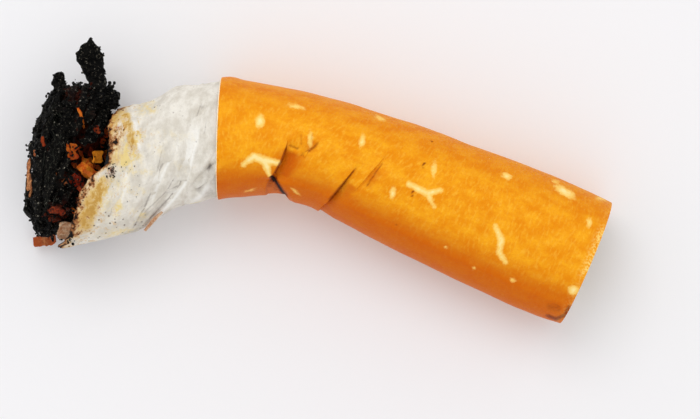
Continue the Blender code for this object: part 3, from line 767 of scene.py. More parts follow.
ground_tone = mixed(tree, ramp(tree, soot, 0.05, 0.62, 0, 0.8), ground_tone, colour(134, 50, 6))
ground_tone = mixed(tree, ramp(tree, soot, 0.60, 1.0), ground_tone, colour(40, 14, 4))
worn = maths(tree, "MULTIPLY", value_of(tree, "rim"), ramp(tree, grain, 0.42, 0.6))
ground_tone = mixed(tree, worn, ground_tone, colour(252, 214, 120))
tree.links.new(ground_tone, shader.inputs["Base Color"])
shader.inputs["Roughness"].default_value = 0.42
shader.inputs["Specular IOR Level"].default_value = 0.05
height = maths(tree, "ADD", maths(tree, "MULTIPLY", streaks, 0.6), grain)
bumped(tree, shader, height, 0.035)

cork_core, tree, shader = new_material("cork_paper_cut_edge")
fibres = noise_of(tree, place_of(tree), 9.0)
cut = mixed(tree, ramp(tree, fibres, 0.35, 0.65), colour(255, 232, 176), colour(255, 247, 222))
tree.links.new(cut, shader.inputs["Base Color"])
shader.inputs["Roughness"].default_value = 0.85

# %% The cork paper, rolled, crushed and printed
TIPPING_SEAM = math.radians(312)
rows = spread([(0, 0.06), (0.6, 0.14), (12.5, 0.13), (13.8, 0.08), (17.5, 0.08), (18.0, 0.05),
               (21.2, 0.05), (22.0, 0.09), (24.6, 0.11), (25, 0.2)])
rows = merged(rows, FOLD_PLACES, 0.03)
turns = sheet_turns(TIPPING_SEAM, RADIUS, 0.085, 0.16)
points, faces, s, angle, (ends, first, last) = rolled(
    rows, turns, TIPPING_SEAM, RADIUS, TIPPING_WALL, 14, bevel=0.16
)
across, down = seen_at(points)
up = np.sin(angle)
arc = RADIUS * angle
hidden = grid_flecks(s, arc) - 1.5 * eased((up + 0.5) / 0.5)
fleck = np.where(up > -0.05, np.maximum(seen_flecks(across, down), -0.5), np.maximum(hidden, -0.5))
# Painted shade by the way the sheet faces: most on the lower side, less near the top edge.
lower_side = eased((-np.cos(angle) - 0.25) / 0.5) * eased((up + 0.9) / 0.5)
upper_side = eased((np.cos(angle) - 0.35) / 0.55) * eased((up + 0.5) / 0.5)
worn = eased((down - 222) / 12) * eased((280 - down) / 10)
rim = eased(1 - s / 0.65) * (0.2 + 0.8 * worn * (up > -0.2))
tipping = new_piece(
    "tipping_paper_look", points, faces, [cork, cork_core], ["tipping_paper"],
    "cork_tipping_paper", 50, unrolled=np.stack([s, arc, 0 * s], -1), fleck=fleck,
    rim=rim, deeper=np.maximum(0.8 * lower_side + 0.3 * upper_side,
    soft_lines(across, down, SHADE) * (up > 0)), soot=soft_lines(across, down, SOOT) * (up > -0.2),
)
material_index = np.zeros(len(tipping.data.polygons), np.int32)
material_index[ends:ends + first + last] = 1
tipping.data.polygons.foreach_set("material_index", material_index)

# %% [markdown]
# White paper: thin, matt and fibrous. Tar and heat have stained it, so stains are soft fields
# where the photograph has them, broken up by noise, and a scorch that follows the burnt edge.

# %% White paper's burnt edge and stains
BURN_LINE = np.array([
    (96, 117.5), (110, 117), (118, 111), (125, 107.5), (138, 108), (150, 108.5), (163, 109),
    (168, 103), (172, 97), (178, 88), (187, 83), (195, 79), (203, 77), (210, 75), (222, 73),
    (236, 70), (244, 60),
])
YELLOW = [(125, 160, 14, 9, -10, 1.0), (139, 138, 8, 5, -30, 0.7), (143, 110, 9, 8, 0, 0.6),
          (152, 107, 6, 7, 0, 0.7), (122, 184, 10, 6, 20, 0.5), (138, 190, 9, 4, 20, 0.6),
          (168, 135, 22, 7, 10, 0.35), (118, 208, 4, 11, 5, 0.8), (140, 214, 12, 8, 30, 0.5),
          (182, 168, 9, 8, 60, 0.6), (118, 232, 22, 5, -8, 0.7), (160, 152, 16, 8, 40, 0.35),
          (124, 145, 12, 26, -10, 0.7), (104, 205, 16, 22, 25, 0.5), (145, 172, 14, 6, 0, 0.4)]
OCHRE = [(96, 196, 7, 20, 32, 1.6), (89, 214, 7, 12, 25, 1.6), (104, 183, 8, 5, -30, 0.7),
         (111, 126, 6, 12, 10, 1.0), (127, 122, 5, 13, -12, 0.9), (132, 145, 4, 9, -15, 0.7),
         (86, 226, 8, 8, 0, 0.6), (115, 140, 3, 10, 5, 0.9), (185, 167, 8, 3, 0, 0.45),
         (138, 133, 5, 3, 0, 0.9), (134, 192, 6, 2.5, 10, 0.6), (118, 117, 8, 5, 0, 0.8),
         (130, 131, 3, 14, -14, 0.9), (136, 152, 3, 8, -5, 0.5), (114, 208, 2.5, 9, 8, 0.6)]
BROWN = [(112, 127, 4, 5, 20, 1.0), (120, 129, 3.5, 4, 40, 1.2), (115.5, 144, 2, 6, 4, 0.9),
         (128, 139, 1.6, 9, -15, 0.6), (125, 119, 2, 7, -20, 0.55), (110.5, 172, 6, 6, 0, 0.9),
         (88, 176, 5, 3, -30, 0.5), (148, 236, 5, 2, 0, 0.3), (100, 228, 14, 2, -5, 0.3)]
DARK = [(120, 130, 2.6, 3.4, 30, 1.0), (112, 171, 3.2, 6, 10, 0.9), (108, 177, 3, 3, 0, 0.8)]


SPECKED = [(152, 108, 7, 7, 0, 0.5), (120, 230, 30, 8, -10, 0.45), (107, 222, 14, 10, 0, 0.4)]
# Painted shade in the folds, grey: strength, half width in mm, and the line in pixels.
GREY = [
    (1.1, 0.10, [(214, 159), (206, 173), (197, 192)]),
    (0.5, 0.20, [(169, 199), (158, 209), (151, 217)]),
    (0.6, 0.35, [(206, 178), (196, 193)]), (0.45, 0.35, [(214, 165), (205, 182)]),
    (0.6, 0.06, [(203, 100), (196, 118), (193, 140)]),
    (0.9, 0.07, [(193, 132), (190, 152), (186, 164)]),
    (0.8, 0.06, [(186, 164), (180, 184), (169, 198), (154, 214), (141, 227)]),
    (0.7, 0.07, [(175, 136), (170.5, 151), (161, 167), (152, 189)]),
    (0.8, 0.07, [(152, 189), (145.6, 205), (131.5, 231)]), (0.5, 0.4, [(150, 210), (134, 226)]),
    (0.6, 0.05, [(178, 172), (166, 192), (150, 207), (138, 219)]),
    (0.5, 0.4, [(200, 196), (214, 190)]),
    (0.6, 0.05, [(164, 140), (160, 158), (157, 174)]), (0.5, 0.05, [(207, 118), (204, 135)]),
    (0.6, 0.06, [(126, 116), (128, 134), (132.5, 153)]), (0.6, 0.06, [(114, 122), (113, 149)]),
    (0.6, 0.05, [(118, 186), (113, 205), (108, 222)]),
    (0.5, 0.30, [(182, 206), (150, 226), (115, 238)]),
]
# Painted highlights along the ridges beside the folds: strength, half width in mm, and the line.
LIGHT = [
    (0.9, 0.10, [(200, 119), (196.5, 140), (191, 163), (185, 184), (174, 199), (159, 215),
    (147, 226)]),
    (0.7, 0.10, [(179, 137), (174.5, 152), (165, 169), (156, 190), (150, 206)]),
    (0.7, 0.14, [(211, 183), (201, 196), (190, 203)]), (0.6, 0.10, [(120, 118), (119, 150)]),
    (0.6, 0.12, [(134, 118), (137, 136), (141, 152)]),
    (0.6, 0.15, [(128, 170), (124, 190), (118, 214)]),
]


def soft_spots(x, y, spots):
    """The sum of strength times exp(-(share of the ellipse's radius)^2) over the spots."""
    total = np.zeros(np.shape(x))
    for middle_x, middle_y, half_x, half_y, tilt, strength in spots:
        turn = math.radians(tilt)
        u = (x - middle_x) * math.cos(turn) + (y - middle_y) * math.sin(turn)
        v = (y - middle_y) * math.cos(turn) - (x - middle_x) * math.sin(turn)
        total += strength * np.exp(-((u / half_x) ** 2) - (v / half_y) ** 2)
    return total


def solid_edge(angle):
    """The frame's burnt edge: longer on the inner side, with two waves round it."""
    inner_side = 1.6 * eased(0.2 - 2.6 * np.cos(angle)) * eased(0.75 + np.sin(angle) * 1.2)
    ragged = 0.20 * np.sin(5 * angle + 3.9) + 0.14 * np.sin(9 * angle + 2.0)
    return BURN_PLACE + inner_side + ragged - 0.35


def burnt_edge(angle):
    """On the upper side where the sheet crosses the burn line, else the frame's edge, frayed."""
    flat = np.atleast_1d(angle).ravel()
    trial = np.linspace(BURN_PLACE - 3.0, BURN_PLACE + 2.6, 90)
    grid_s, grid_angle = np.meshgrid(trial, flat, indexing="ij")
    x, y = seen_at(crushed(grid_s, grid_angle, np.full(grid_s.shape, PAPER_RADIUS)))
    past = x < np.interp(y, BURN_LINE[:, 0], BURN_LINE[:, 1])
    crossing = trial[np.argmax(past, axis=0)]
    crossing = np.where(past.any(axis=0), crossing, BURN_PLACE + 1.0)
    above = eased((np.sin(flat) + 0.1) / 0.35)
    edge = solid_edge(flat) + above * (crossing - solid_edge(flat))
    ways = np.stack([flat * 9, flat * 0, flat * 0], -1)
    frayed = 0.10 * rough(ways, 1.0, 3, 4)
    return (edge + frayed).reshape(np.shape(angle))


print("burnt edge on top:", burnt_edge(np.radians([60, 90, 120, 150])).round(2))

# %% White paper's finish
white, tree, shader = new_material("cigarette_paper")
soft = noise_of(tree, place_of(tree, "unrolled", (1.3, 0.8, 1.0)), 1.0, 5, 0.62)
fine = noise_of(tree, place_of(tree), 4.5, 5, 0.7)
uneven = maths(tree, "ADD", maths(tree, "MULTIPLY_ADD", soft, 1.3, -0.68),
               maths(tree, "MULTIPLY_ADD", fine, 0.9, -0.46))
tone = mixed(tree, ramp(tree, soft, 0.35, 0.65), colour(216, 209, 196), colour(240, 235, 225))
# Painted shade: grey along the folds.
grey = maths(tree, "ADD", value_of(tree, "grey"), maths(tree, "MULTIPLY_ADD", fine, 0.6, -0.3))
tone = mixed(tree, ramp(tree, grey, 0.1, 0.95, 0, 0.75), tone, colour(132, 122, 116))
# Painted highlight: near-white along the ridges.
tone = mixed(tree, value_of(tree, "light"), tone, colour(253, 251, 246))


mottle = noise_of(tree, place_of(tree, None, (1.0, 0.6, 1.0)), 2.6, 5, 0.7)
patches = ramp(tree, mottle, 0.36, 0.66, 0.25, 1.35)


def stained(tree, tone, field, start, end, tint, most=1.0):
    """The tint laid over the tone where the field, broken up by noise, passes start to end."""
    value = maths(tree, "ADD", maths(tree, "MULTIPLY", field, patches), uneven)
    return mixed(tree, ramp(tree, value, start, end, 0.0, most), tone, tint)


tone = stained(tree, tone, value_of(tree, "yellow"), 0.05, 1.7, colour(236, 212, 144))
tone = stained(tree, tone, value_of(tree, "ochre"), 0.15, 1.1, colour(226, 194, 120), 0.9)
tone = stained(tree, tone, value_of(tree, "ochre"), 0.9, 2.2, colour(196, 148, 66), 0.9)
tone = stained(tree, tone, value_of(tree, "brown"), 0.30, 1.5, colour(176, 92, 30))
tone = stained(tree, tone, value_of(tree, "dark"), 0.35, 0.8, colour(28, 19, 14))
burnt = maths(tree, "MULTIPLY", value_of(tree, "burnt"), -1.0)
tone = stained(tree, tone, burnt, -1.1, -0.2, colour(214, 172, 98), 0.75)
tone = stained(tree, tone, burnt, -0.42, -0.12, colour(150, 82, 32), 0.9)
tone = stained(tree, tone, burnt, -0.16, 0.0, colour(16, 12, 9))
specks = add(tree, "TexVoronoi", {"Vector": place_of(tree), "Scale": 2.9}).outputs["Distance"]
near_speck = ramp(tree, specks, 0.13, 0.24, 1.0, 0.0)
patchy = ramp(tree, maths(tree, "ADD", soft, value_of(tree, "specked")), 0.50, 0.75, 0, 0.85)
tone = mixed(tree, maths(tree, "MULTIPLY", near_speck, patchy), tone, colour(92, 72, 58))
tree.links.new(tone, shader.inputs["Base Color"])
shader.inputs["Roughness"].default_value = 0.85
shader.inputs["Specular IOR Level"].default_value = 0.2
fibres = noise_of(tree, place_of(tree, "unrolled", (1.2, 5.0, 1.0)), 1.0, 4, 0.6)
bumped(tree, shader, maths(tree, "ADD", maths(tree, "MULTIPLY", fibres, 0.8), fine), 0.09)

burnt_rim, tree, shader = new_material("burnt_paper_edge")
shader.inputs["Base Color"].default_value = colour(34, 22, 14)
shader.inputs["Roughness"].default_value = 0.9

# %% The white paper, rolled, crushed, burnt off and stained
PAPER_SEAM = math.radians(276)
rows = spread([(21.1, 0.3), (24.2, 0.2), (24.6, 0.08), (30.0, 0.08), (BURN_PLACE, 0.07)])
turns = sheet_turns(PAPER_SEAM, PAPER_RADIUS, 0.085, 0.16)
points, faces, s, angle, (ends, first, last) = rolled(
    rows, turns, PAPER_SEAM, PAPER_RADIUS, PAPER_WALL, 12, burnt_edge
)
across, down = seen_at(points)
above = eased((np.sin(angle) + 0.25) / 0.4)
edge_turns = np.linspace(0, 2 * math.pi, 721)
to_edge = np.interp(np.mod(angle, 2 * math.pi), edge_turns, burnt_edge(edge_turns)) - s
unseen = (1 - above) * rough(points, 3.0, 3, 11) * np.exp(-to_edge / 3.0)
paper = new_piece(
    "cigarette_paper_look", points, faces, [white, burnt_rim], ["cigarette_paper"],
    "white_paper", 50, unrolled=np.stack([s, PAPER_RADIUS * angle, 0 * s], -1),
    burnt=to_edge, yellow=1.5 * above * soft_spots(across, down, YELLOW) + 1.2 * unseen,
    ochre=1.6 * above * soft_spots(across, down, OCHRE) + 0.8 * unseen,
    brown=1.5 * above * soft_spots(across, down, BROWN),
    dark=above * soft_spots(across, down, DARK),
    specked=above * soft_spots(across, down, SPECKED), grey=above * soft_lines(across, down, GREY),
    light=above * soft_lines(across, down, LIGHT),
)
material_index = np.zeros(len(paper.data.polygons), np.int32)
material_index[ends + first:ends + first + last] = 1
paper.data.polygons.foreach_set("material_index", material_index)

# %% [markdown]
# Inside the cork paper sits the filter: a plug of crimped white fibres in its own paper wrap.
# Smoke has stained the fibres yellow-brown, most in the middle. A cut end of such a plug is
# made of thousands of fibre ends, so it is a felt of small pits and not a smooth disc.

# %% Filter plug, plug wrap and tobacco rod


def turned(stops, around, pits=0.0):
    """A closed body: rings (s, radius) along a profile, then crushed, tiny at both ends."""
    s, radius = (np.repeat(column[:, None], around, axis=1) for column in np.array(stops, float).T)
    angle = np.broadcast_to(np.linspace(0, 2 * math.pi, around, endpoint=False), s.shape)
    flat = np.stack([radius * np.cos(angle), radius * np.sin(angle), s], axis=-1)
    inner = eased((s[-1, 0] + s[0, 0]) / 2 - s) * 2 - 1
    at_end = eased(1 - np.minimum(s - s.min(), s.max() - s) / 0.05)
    s = s + pits * inner * at_end * (0.5 + 0.5 * rough(flat, 0.35, 3, 21)) * (radius < radius.max())
    points = shaped(s, angle, radius).reshape(-1, 3)
    faces = [*grid_faces(len(s), around, True), [*range(around)][::-1]]
    faces.append([*range(len(points) - around, len(points))])
    return points, faces, s.ravel(), radius.ravel()


tow, tree, shader = new_material("smoked_tow")
fibre_ends = noise_of(tree, place_of(tree), 9.0, 5, 0.7)
smoky = maths(tree, "ADD", value_of(tree, "middle"),
    maths(tree, "MULTIPLY_ADD", fibre_ends, 0.8, -0.4))
tone = mixed(tree, ramp(tree, smoky, 0.1, 0.9), colour(226, 204, 158), colour(170, 122, 62))
tone = mixed(tree, ramp(tree, fibre_ends, 0.35, 0.5, 0.6, 0), tone, colour(120, 78, 36))
tree.links.new(tone, shader.inputs["Base Color"])
shader.inputs["Roughness"].default_value = 0.9
shader.inputs["Specular IOR Level"].default_value = 0.15
bumped(tree, shader, fibre_ends, 0.12)

face = [(0.03, r) for r in np.arange(0.06, PLUG_RADIUS - 0.06, 0.09)]
side = [(s, PLUG_RADIUS) for s in np.arange(0.0, FILTER_LENGTH, 0.25)]
end = [(FILTER_LENGTH, r) for r in np.arange(PLUG_RADIUS - 0.05, 0.05, -0.6)]
points, faces, s, radius = turned(face + side + end, 150, 0.14)
middle = np.where(s < 1, 1 - radius / PLUG_RADIUS, 0.0) * 1.3
new_piece("filter_plug_look", points, faces, [tow], ["filter_plug"], "acetate_tow", middle=middle)

wrap_paper, tree, shader = new_material("plug_wrap_paper")
shader.inputs["Base Color"].default_value = colour(232, 222, 198)
shader.inputs["Roughness"].default_value = 0.85
WRAP_SEAM = math.radians(336)
rows = merged(spread([(0, 0.1), (1, 0.3), (13, 0.3), (15, 0.14), (21, 0.14)]), FOLD_PLACES, 0.05)
turns = sheet_turns(WRAP_SEAM, WRAP_RADIUS, 0.16, 0.2)
points, faces, s, angle, counts = rolled(rows, turns, WRAP_SEAM, WRAP_RADIUS, PAPER_WALL, 4)
new_piece("plug_wrap_look", points, faces, [wrap_paper], ["plug_wrap"], "plug_wrap_paper")

leaf, tree, shader = new_material("cut_tobacco")
shreds = noise_of(tree, place_of(tree, None, (1, 1, 3)), 2.2, 5, 0.65)
tone = mixed(tree, ramp(tree, shreds, 0.35, 0.65), colour(74, 42, 20), colour(150, 98, 50))
tone = mixed(tree, value_of(tree, "charred"), tone, colour(12, 10, 9))
tree.links.new(tone, shader.inputs["Base Color"])
shader.inputs["Roughness"].default_value = 0.85
bumped(tree, shader, shreds, 0.3)
ROD_START = FILTER_LENGTH + 0.1
ROD_SINK = 0.12  # keeps the rod clear of the creases in the white paper
ROD_END = BURN_PLACE - 0.7
end = [(ROD_START, r) for r in np.arange(0.1, ROD_RADIUS - 0.05, 0.6)]
side = [(s, ROD_RADIUS - ROD_SINK) for s in np.arange(ROD_START, ROD_END, 0.2)]
face = [(ROD_END, r) for r in np.arange(ROD_RADIUS - 0.05, 0.05, -0.14)]
points, faces, s, radius = turned(end + side + face, 110, 0.3)
new_piece("tobacco_rod_look", points, faces, [leaf], ["tobacco_rod"], "cut_tobacco",
          charred=eased((s - ROD_END + 2.2) / 2))

# %% [markdown]
# The char: burnt tobacco that spilled out of the paper and was pressed into one lump, much
# longer across the butt than along it. Its skin is a rounded box (a superellipsoid) that is
# drawn in where it would cut the paper. Shreds give it its grain: ridges that run the long way.

# %% The char's place and its skin
CRUST = np.array([2.35, 4.85, 3.25])
CRUST_MIDDLE = 3.15
ROUNDNESS = 2.5
rod_end = np.array(ROD_END)
turn = float(heading(rod_end - TAKE_UP)) + math.atan(float(skew(rod_end - TAKE_UP)))
AWAY = np.array([-math.cos(turn), math.sin(turn), 0.0])
ACROSS = np.array([math.sin(turn), math.cos(turn), 0.0])
CHAR_MIDDLE = crushed(rod_end, np.array(0.0), np.array(0.0)) + AWAY * 2.45 - ACROSS * 0.15
CHAR_MIDDLE[2] = CRUST_MIDDLE
print("char's middle, mm:", CHAR_MIDDLE.round(2))


def straightened(points):
    """The crush undone near the burnt end, where the axis is straight: s, y and z."""
    turn = float(heading(np.array(BURNT_END)))
    dx = points[..., 0] - SET_DOWN[0] - np.interp(BURNT_END, AXIS_S, AXIS_X)
    dy = points[..., 1] - SET_DOWN[1] - np.interp(BURNT_END, AXIS_S, AXIS_Y)
    s = BURNT_END - dx * math.cos(turn) + dy * math.sin(turn)
    across = dx * math.sin(turn) + dy * math.cos(turn)
    outer, inner, high = section(s)
    y = across / np.where(across > 0, outer, inner)
    z = (points[..., 2] - lift(s)) / high - FLAT_SHARE * RADIUS
    return s + skew(s) * y + TAKE_UP, y, z


def inside_paper(points, room):
    """Draws points towards the axis where they would come through the white paper's tube."""
    s, y, z = straightened(points)
    radius = np.hypot(y, z)
    past_edge = np.maximum(s - solid_edge(np.arctan2(z, y)) - 0.45, 0.0)
    limit = PAPER_RADIUS - PAPER_WALL - room + 3.0 * past_edge
    share = np.minimum(1.0, limit / np.maximum(radius, 0.01))
    middle = crushed(s, 0 * s, 0 * s)
    return middle + (points - middle) * share[..., None]


def on_crust(longitude, latitude, out=0.0):
    """Skin of |x/a|^n + |y/b|^n + |z/c|^n = 1, set down on the ground, moved out by so much."""
    level = np.cos(latitude)
    unit = np.stack([level * np.sin(longitude), np.sin(latitude), level * np.cos(longitude)], -1)
    size = (np.abs(unit) ** ROUNDNESS).sum(-1) ** (-1 / ROUNDNESS)
    points = CHAR_MIDDLE + unit * size[..., None] * CRUST @ np.array([AWAY, ACROSS, [0, 0, 1]])
    points = inside_paper(points, 0.4)
    points[..., 2] = np.maximum(points[..., 2], 0.0)
    outwards = points - CHAR_MIDDLE
    outwards /= np.linalg.norm(outwards, axis=-1, keepdims=True)
    return points + outwards * np.asarray(out)[..., None], outwards


# %% Charred finish
char, tree, shader = new_material("charred_leaf")
clumps = noise_of(tree, place_of(tree), 1.1, 5, 0.65)
ash = noise_of(tree, place_of(tree), 6.0, 5, 0.75)
tone = mixed(tree, ramp(tree, clumps, 0.40, 0.65), colour(1, 1, 1), colour(17, 16, 13))
# Grey and near-white specks: flecks of ash, and painted glints of light.
tone = mixed(tree, ramp(tree, ash, 0.55, 0.64, 0, 0.9), tone, colour(86, 81, 70))
tone = mixed(tree, ramp(tree, ash, 0.62, 0.69, 0, 0.95), tone, colour(196, 190, 174))
tone = mixed(tree, value_of(tree, "pale"), tone, colour(72, 74, 66))
warmth = maths(tree, "ADD", value_of(tree, "warm"), maths(tree, "MULTIPLY_ADD", clumps, 0.8, -0.5))
tone = mixed(tree, ramp(tree, warmth, 0.1, 0.9, 0, 0.9), tone, colour(88, 32, 16))
tree.links.new(tone, shader.inputs["Base Color"])
shader.inputs["Roughness"].default_value = 0.5
shader.inputs["Specular IOR Level"].default_value = 0.10
bumped(tree, shader, maths(tree, "ADD", ash, clumps), 0.3)

# %% The fused lump
longitude = np.repeat(np.linspace(-math.pi, math.pi, 340, endpoint=False)[None, :], 190, axis=0)
latitude = np.repeat(np.linspace(-1.56, 1.56, 190)[:, None], 340, axis=1)
skin, outwards = on_crust(longitude, latitude)
grain = np.stack([
    (skin @ AWAY) / 0.42 + 0.5 * noise(skin / 1.3, 3), (skin @ ACROSS) / 2.1, skin[..., 2] / 0.42
], axis=-1)
ridges = 1 - 2 * np.abs(noise(grain, 1)) + 0.5 * (1 - 2 * np.abs(noise(grain * 2.1, 2)))
across, down = seen_at(skin)
upper = eased((skin[..., 2] - 3.0) / 1.5)
HOLLOWS = [(90, 156, 17, 20, 20, 1.3), (80, 128, 9, 14, 20, 0.45), (60, 150, 5, 30, 5, 0.25)]
depth = upper * soft_spots(across, down, HOLLOWS)
crumbly = 0.10 * rough(skin, 0.55, 3, 5) + 0.22 * rough(skin, 2.2, 2, 8)
out = 0.16 * ridges + crumbly - 0.28 - depth
out = out * (0.35 + 0.65 * eased(skin[...,
    2] / 0.7)) * eased((math.pi / 2 - np.abs(latitude)) / 0.06)
lump = skin + outwards * out[..., None]
lump[..., 2] = np.maximum(lump[..., 2], 0.0)
faces = [*grid_faces(190, 340, True), [*range(340)][::-1], [*range(189 * 340, 190 * 340)]]
WARM = [(78, 92, 16, 12, 0, 0.7), (72, 100, 8, 12, 0, 0.5), (88, 150, 18, 22, 20, 0.75),
        (88, 120, 14, 22, 20, 0.45), (97, 136, 8, 12, 0, 0.6), (55, 215, 12, 9, 0, 0.9),
        (64, 176, 7, 7, 0, 0.9), (85, 176, 9, 7, 40, 0.9), (60, 200, 14, 10, 0, 0.4),
        (45, 140, 6, 10, 0, 0.35), (44, 148, 3, 5, 0, 0.8)]
warm = upper * soft_spots(across, down, WARM)
crust = new_piece("char_crust_look", lump.reshape(-1, 3), faces, [char], ["char_crust"],
                  "charred_leaf", 70, warm=warm.ravel())

# %% [markdown]
# Tobacco is cut into flat shreds well under a millimetre wide. Burnt ones keep that shape, only
# thinner, wavy and ragged at the edges. All of them come from one function, a closed strip round
# a path. A plain box strip would be quicker, but its sharp straight edges look like cut plastic.

# %% Ribbons of leaf


def path_through(stops, rows):
    """Rows of numbers through the stops, with the same eased tangents as the sections."""
    stops = np.array(stops, float)
    places = np.linspace(0, 1, len(stops))
    share = np.linspace(0, 1, rows)
    return np.stack([smooth_curve(share, places, column) for column in stops.T], axis=-1)


def unit(vectors):
    return vectors / np.maximum(np.linalg.norm(vectors, axis=-1, keepdims=True), 1e-6)


def ribbon(middles, ups, half_widths, thickness, sides=10, ragged=0.2, cup=0.0, seed=0.0):
    """Rings w |cos t|^0.5 across and h/2 |sin t|^0.7 up, each with its sign; the cup lifts both
    edges by its share squared. The two end rings are closed with one face each."""
    along = np.gradient(middles, axis=0)
    beside = unit(np.cross(along, ups))
    up = unit(np.cross(beside, along))
    turn = (np.arange(sides) + 0.5) * 2 * math.pi / sides
    flat = np.sign(np.cos(turn)) * np.abs(np.cos(turn)) ** 0.5
    high = np.sign(np.sin(turn)) * np.abs(np.sin(turn)) ** 0.7 * thickness / 2
    run = np.cumsum(np.linalg.norm(along, axis=1))
    edge = np.stack(np.broadcast_arrays(run[:, None] / 0.3, flat[None, :] * 3, seed), axis=-1)
    wide = flat * np.asarray(half_widths)[:, None] * (1 + ragged * rough(edge, 1.0, 2, seed))
    tall = high + cup * flat**2 + 0 * wide
    points = middles[:, None] + beside[:, None] * wide[..., None] + up[:, None] * tall[..., None]
    rows = len(middles)
    faces = [*grid_faces(rows, sides, True), [*range(sides)][::-1]]
    faces.append([*range((rows - 1) * sides, rows * sides)])
    return points.reshape(-1, 3), [list(face) for face in faces]


def roughened(points, cell, amount, seed=0.0):
    """Each of the three directions moved by its own noise."""
    moves = [rough(points, cell, 2, seed + 7 * i) for i in range(3)]
    moved = points + amount * np.stack(moves, axis=-1)
    moved[..., 2] = np.maximum(moved[..., 2], 0.01)
    return moved


def joined(parts):
    """Several (points, faces) as one, and for each point the number of its part."""
    starts = np.cumsum([0] + [len(points) for points, _ in parts[:-1]])
    faces = [[int(i) + int(start) for i in face] for start,
        (_, own) in zip(starts, parts) for face in own]
    numbers = np.concatenate([np.full(len(points), i) for i, (points, _) in enumerate(parts)])
    return np.concatenate([points for points, _ in parts]), faces, numbers


def laid(path, half_width, thickness, rows, sides=10, taper=0.5, seed=0.0, **more):
    """A strip over the char: rows of (longitude, latitude, out) in degrees and millimetres."""
    longitude, latitude, out = path_through(path, rows).T
    middles, ups = on_crust(np.radians(longitude), np.radians(latitude), out)
    share = np.linspace(-1, 1, rows)
    narrow = (1 - taper * share**4) * np.maximum(np.cos(np.radians(latitude)), 0.35)
    return ribbon(middles, ups, half_width * narrow, thickness, sides, seed=seed, **more)


# %% [markdown]
# Leaf that only scorched keeps its colour: amber where it glowed behind the paper, tan and
# russet further out. The eight long burnt strands run over the lump the way it was pressed.

# %% Scorched leaf finishes


def leaf_finish(name, dull, bright, deep):
    """Two tones broken up by noise, a third tone by the stored value, a painted glow where that
    value is below zero, and black burnt spots.
    """
    material, tree, shader = new_material(name)
    mottle = noise_of(tree, place_of(tree), 3.0, 5, 0.75)
    spots = noise_of(tree, place_of(tree), 7.0, 4, 0.75)
    tone = mixed(tree, ramp(tree, mottle, 0.36, 0.64), colour(*dull), colour(*bright))
    tone = mixed(tree, value_of(tree, "deep"), tone, colour(*deep))
    # Painted glow: below zero the leaf turns a bright orange, as if it still glowed.
    glow = ramp(tree, value_of(tree, "deep"), -0.4, 0.0, 0.8, 0.0)
    tone = mixed(tree, glow, tone, colour(255, 156, 34))
    burnt = maths(tree, "ADD", value_of(tree, "charred"),
        maths(tree, "MULTIPLY_ADD", spots, 1.6, -0.8))
    tone = mixed(tree, ramp(tree, burnt, 0.25, 0.7), tone, colour(17, 12, 9))
    tree.links.new(tone, shader.inputs["Base Color"])
    shader.inputs["Roughness"].default_value = 0.7
    shader.inputs["Specular IOR Level"].default_value = 0.15
    bumped(tree, shader, maths(tree, "ADD", mottle, spots), 0.2)
    return material


amber = leaf_finish("amber_leaf", (226, 84, 16), (255, 158, 48), (140, 36, 10))
tan = leaf_finish("tan_leaf", (146, 86, 52), (236, 164, 106), (196, 92, 44))
buff = leaf_finish("buff_leaf", (214, 142, 96), (252, 216, 178), (140, 76, 44))

# %% The strands and shreds that the frame knows
STRANDS = [
    [(-25, 42), (-20, 27)], [(-46, 36), (-38, 25), (-20, 11.5)], [(-8, 66), (-6, 34), (-4, 17)],
    [(16, 66), (14, 10), (18, -62)], [(40, 54), (36, 0), (34, -30), (40, -60)],
    [(63, 58), (60, 6)], [(88, 50), (85, 0), (90, -48)], [(0, -27), (0, -40)],
]
on_char = []
for number, path in enumerate(STRANDS, 1):
    long_way = abs(path[0][1] - path[-1][1])
    path = [(*stop, 0.2) for stop in path]
    wedge = number == 2
    points, faces = laid(path, 0.40 if wedge else 0.31, 0.26 if wedge else 0.17,
                         24 + int(long_way * 1.1), 18, seed=number, cup=0.03, ragged=0.35)
    points = roughened(points, 0.7, 0.10, number)
    points = roughened(points, 0.24, 0.07, number + 3)
    warm = -0.3 if wedge else 0.55 * soft_spots(*seen_at(points), WARM) - 0.1
    on_char.append(new_piece(
        f"charred_strand_{number}_look", points, faces, [char], [f"charred_strand_{number}"],
        "charred_leaf", 60, warm=warm + np.zeros(len(points))))

AMBER = [
    ([(-4, 11.5), (-8.5, 1)], 0.62, 0.10), ([(-20, -2), (-48.5, -9)], 0.05, -0.02),
    ([(-42, 9), (-43.5, 2)], -0.5, -0.4), ([(-12, -10), (-29, -15)], 0.9, 0.22),
]
for number, (path, deep, charred) in enumerate(AMBER, 1):
    path = [(*stop, 0.18) for stop in path]
    points, faces = laid(path, 0.34, 0.16, 30, 20, 0.15, number, cup=0.06, ragged=0.22)
    redder = 0.5 * rough(points, 0.7, 3, number)
    points = roughened(roughened(points, 0.45, 0.06, number), 0.16, 0.035, number + 2)
    on_char.append(new_piece(
        f"amber_shred_{number}_look", points, faces, [amber], [f"amber_shred_{number}"],
        "amber_leaf", 60, deep=np.clip(deep + redder, -0.5, 1),
        charred=charred + 0.25 * redder))

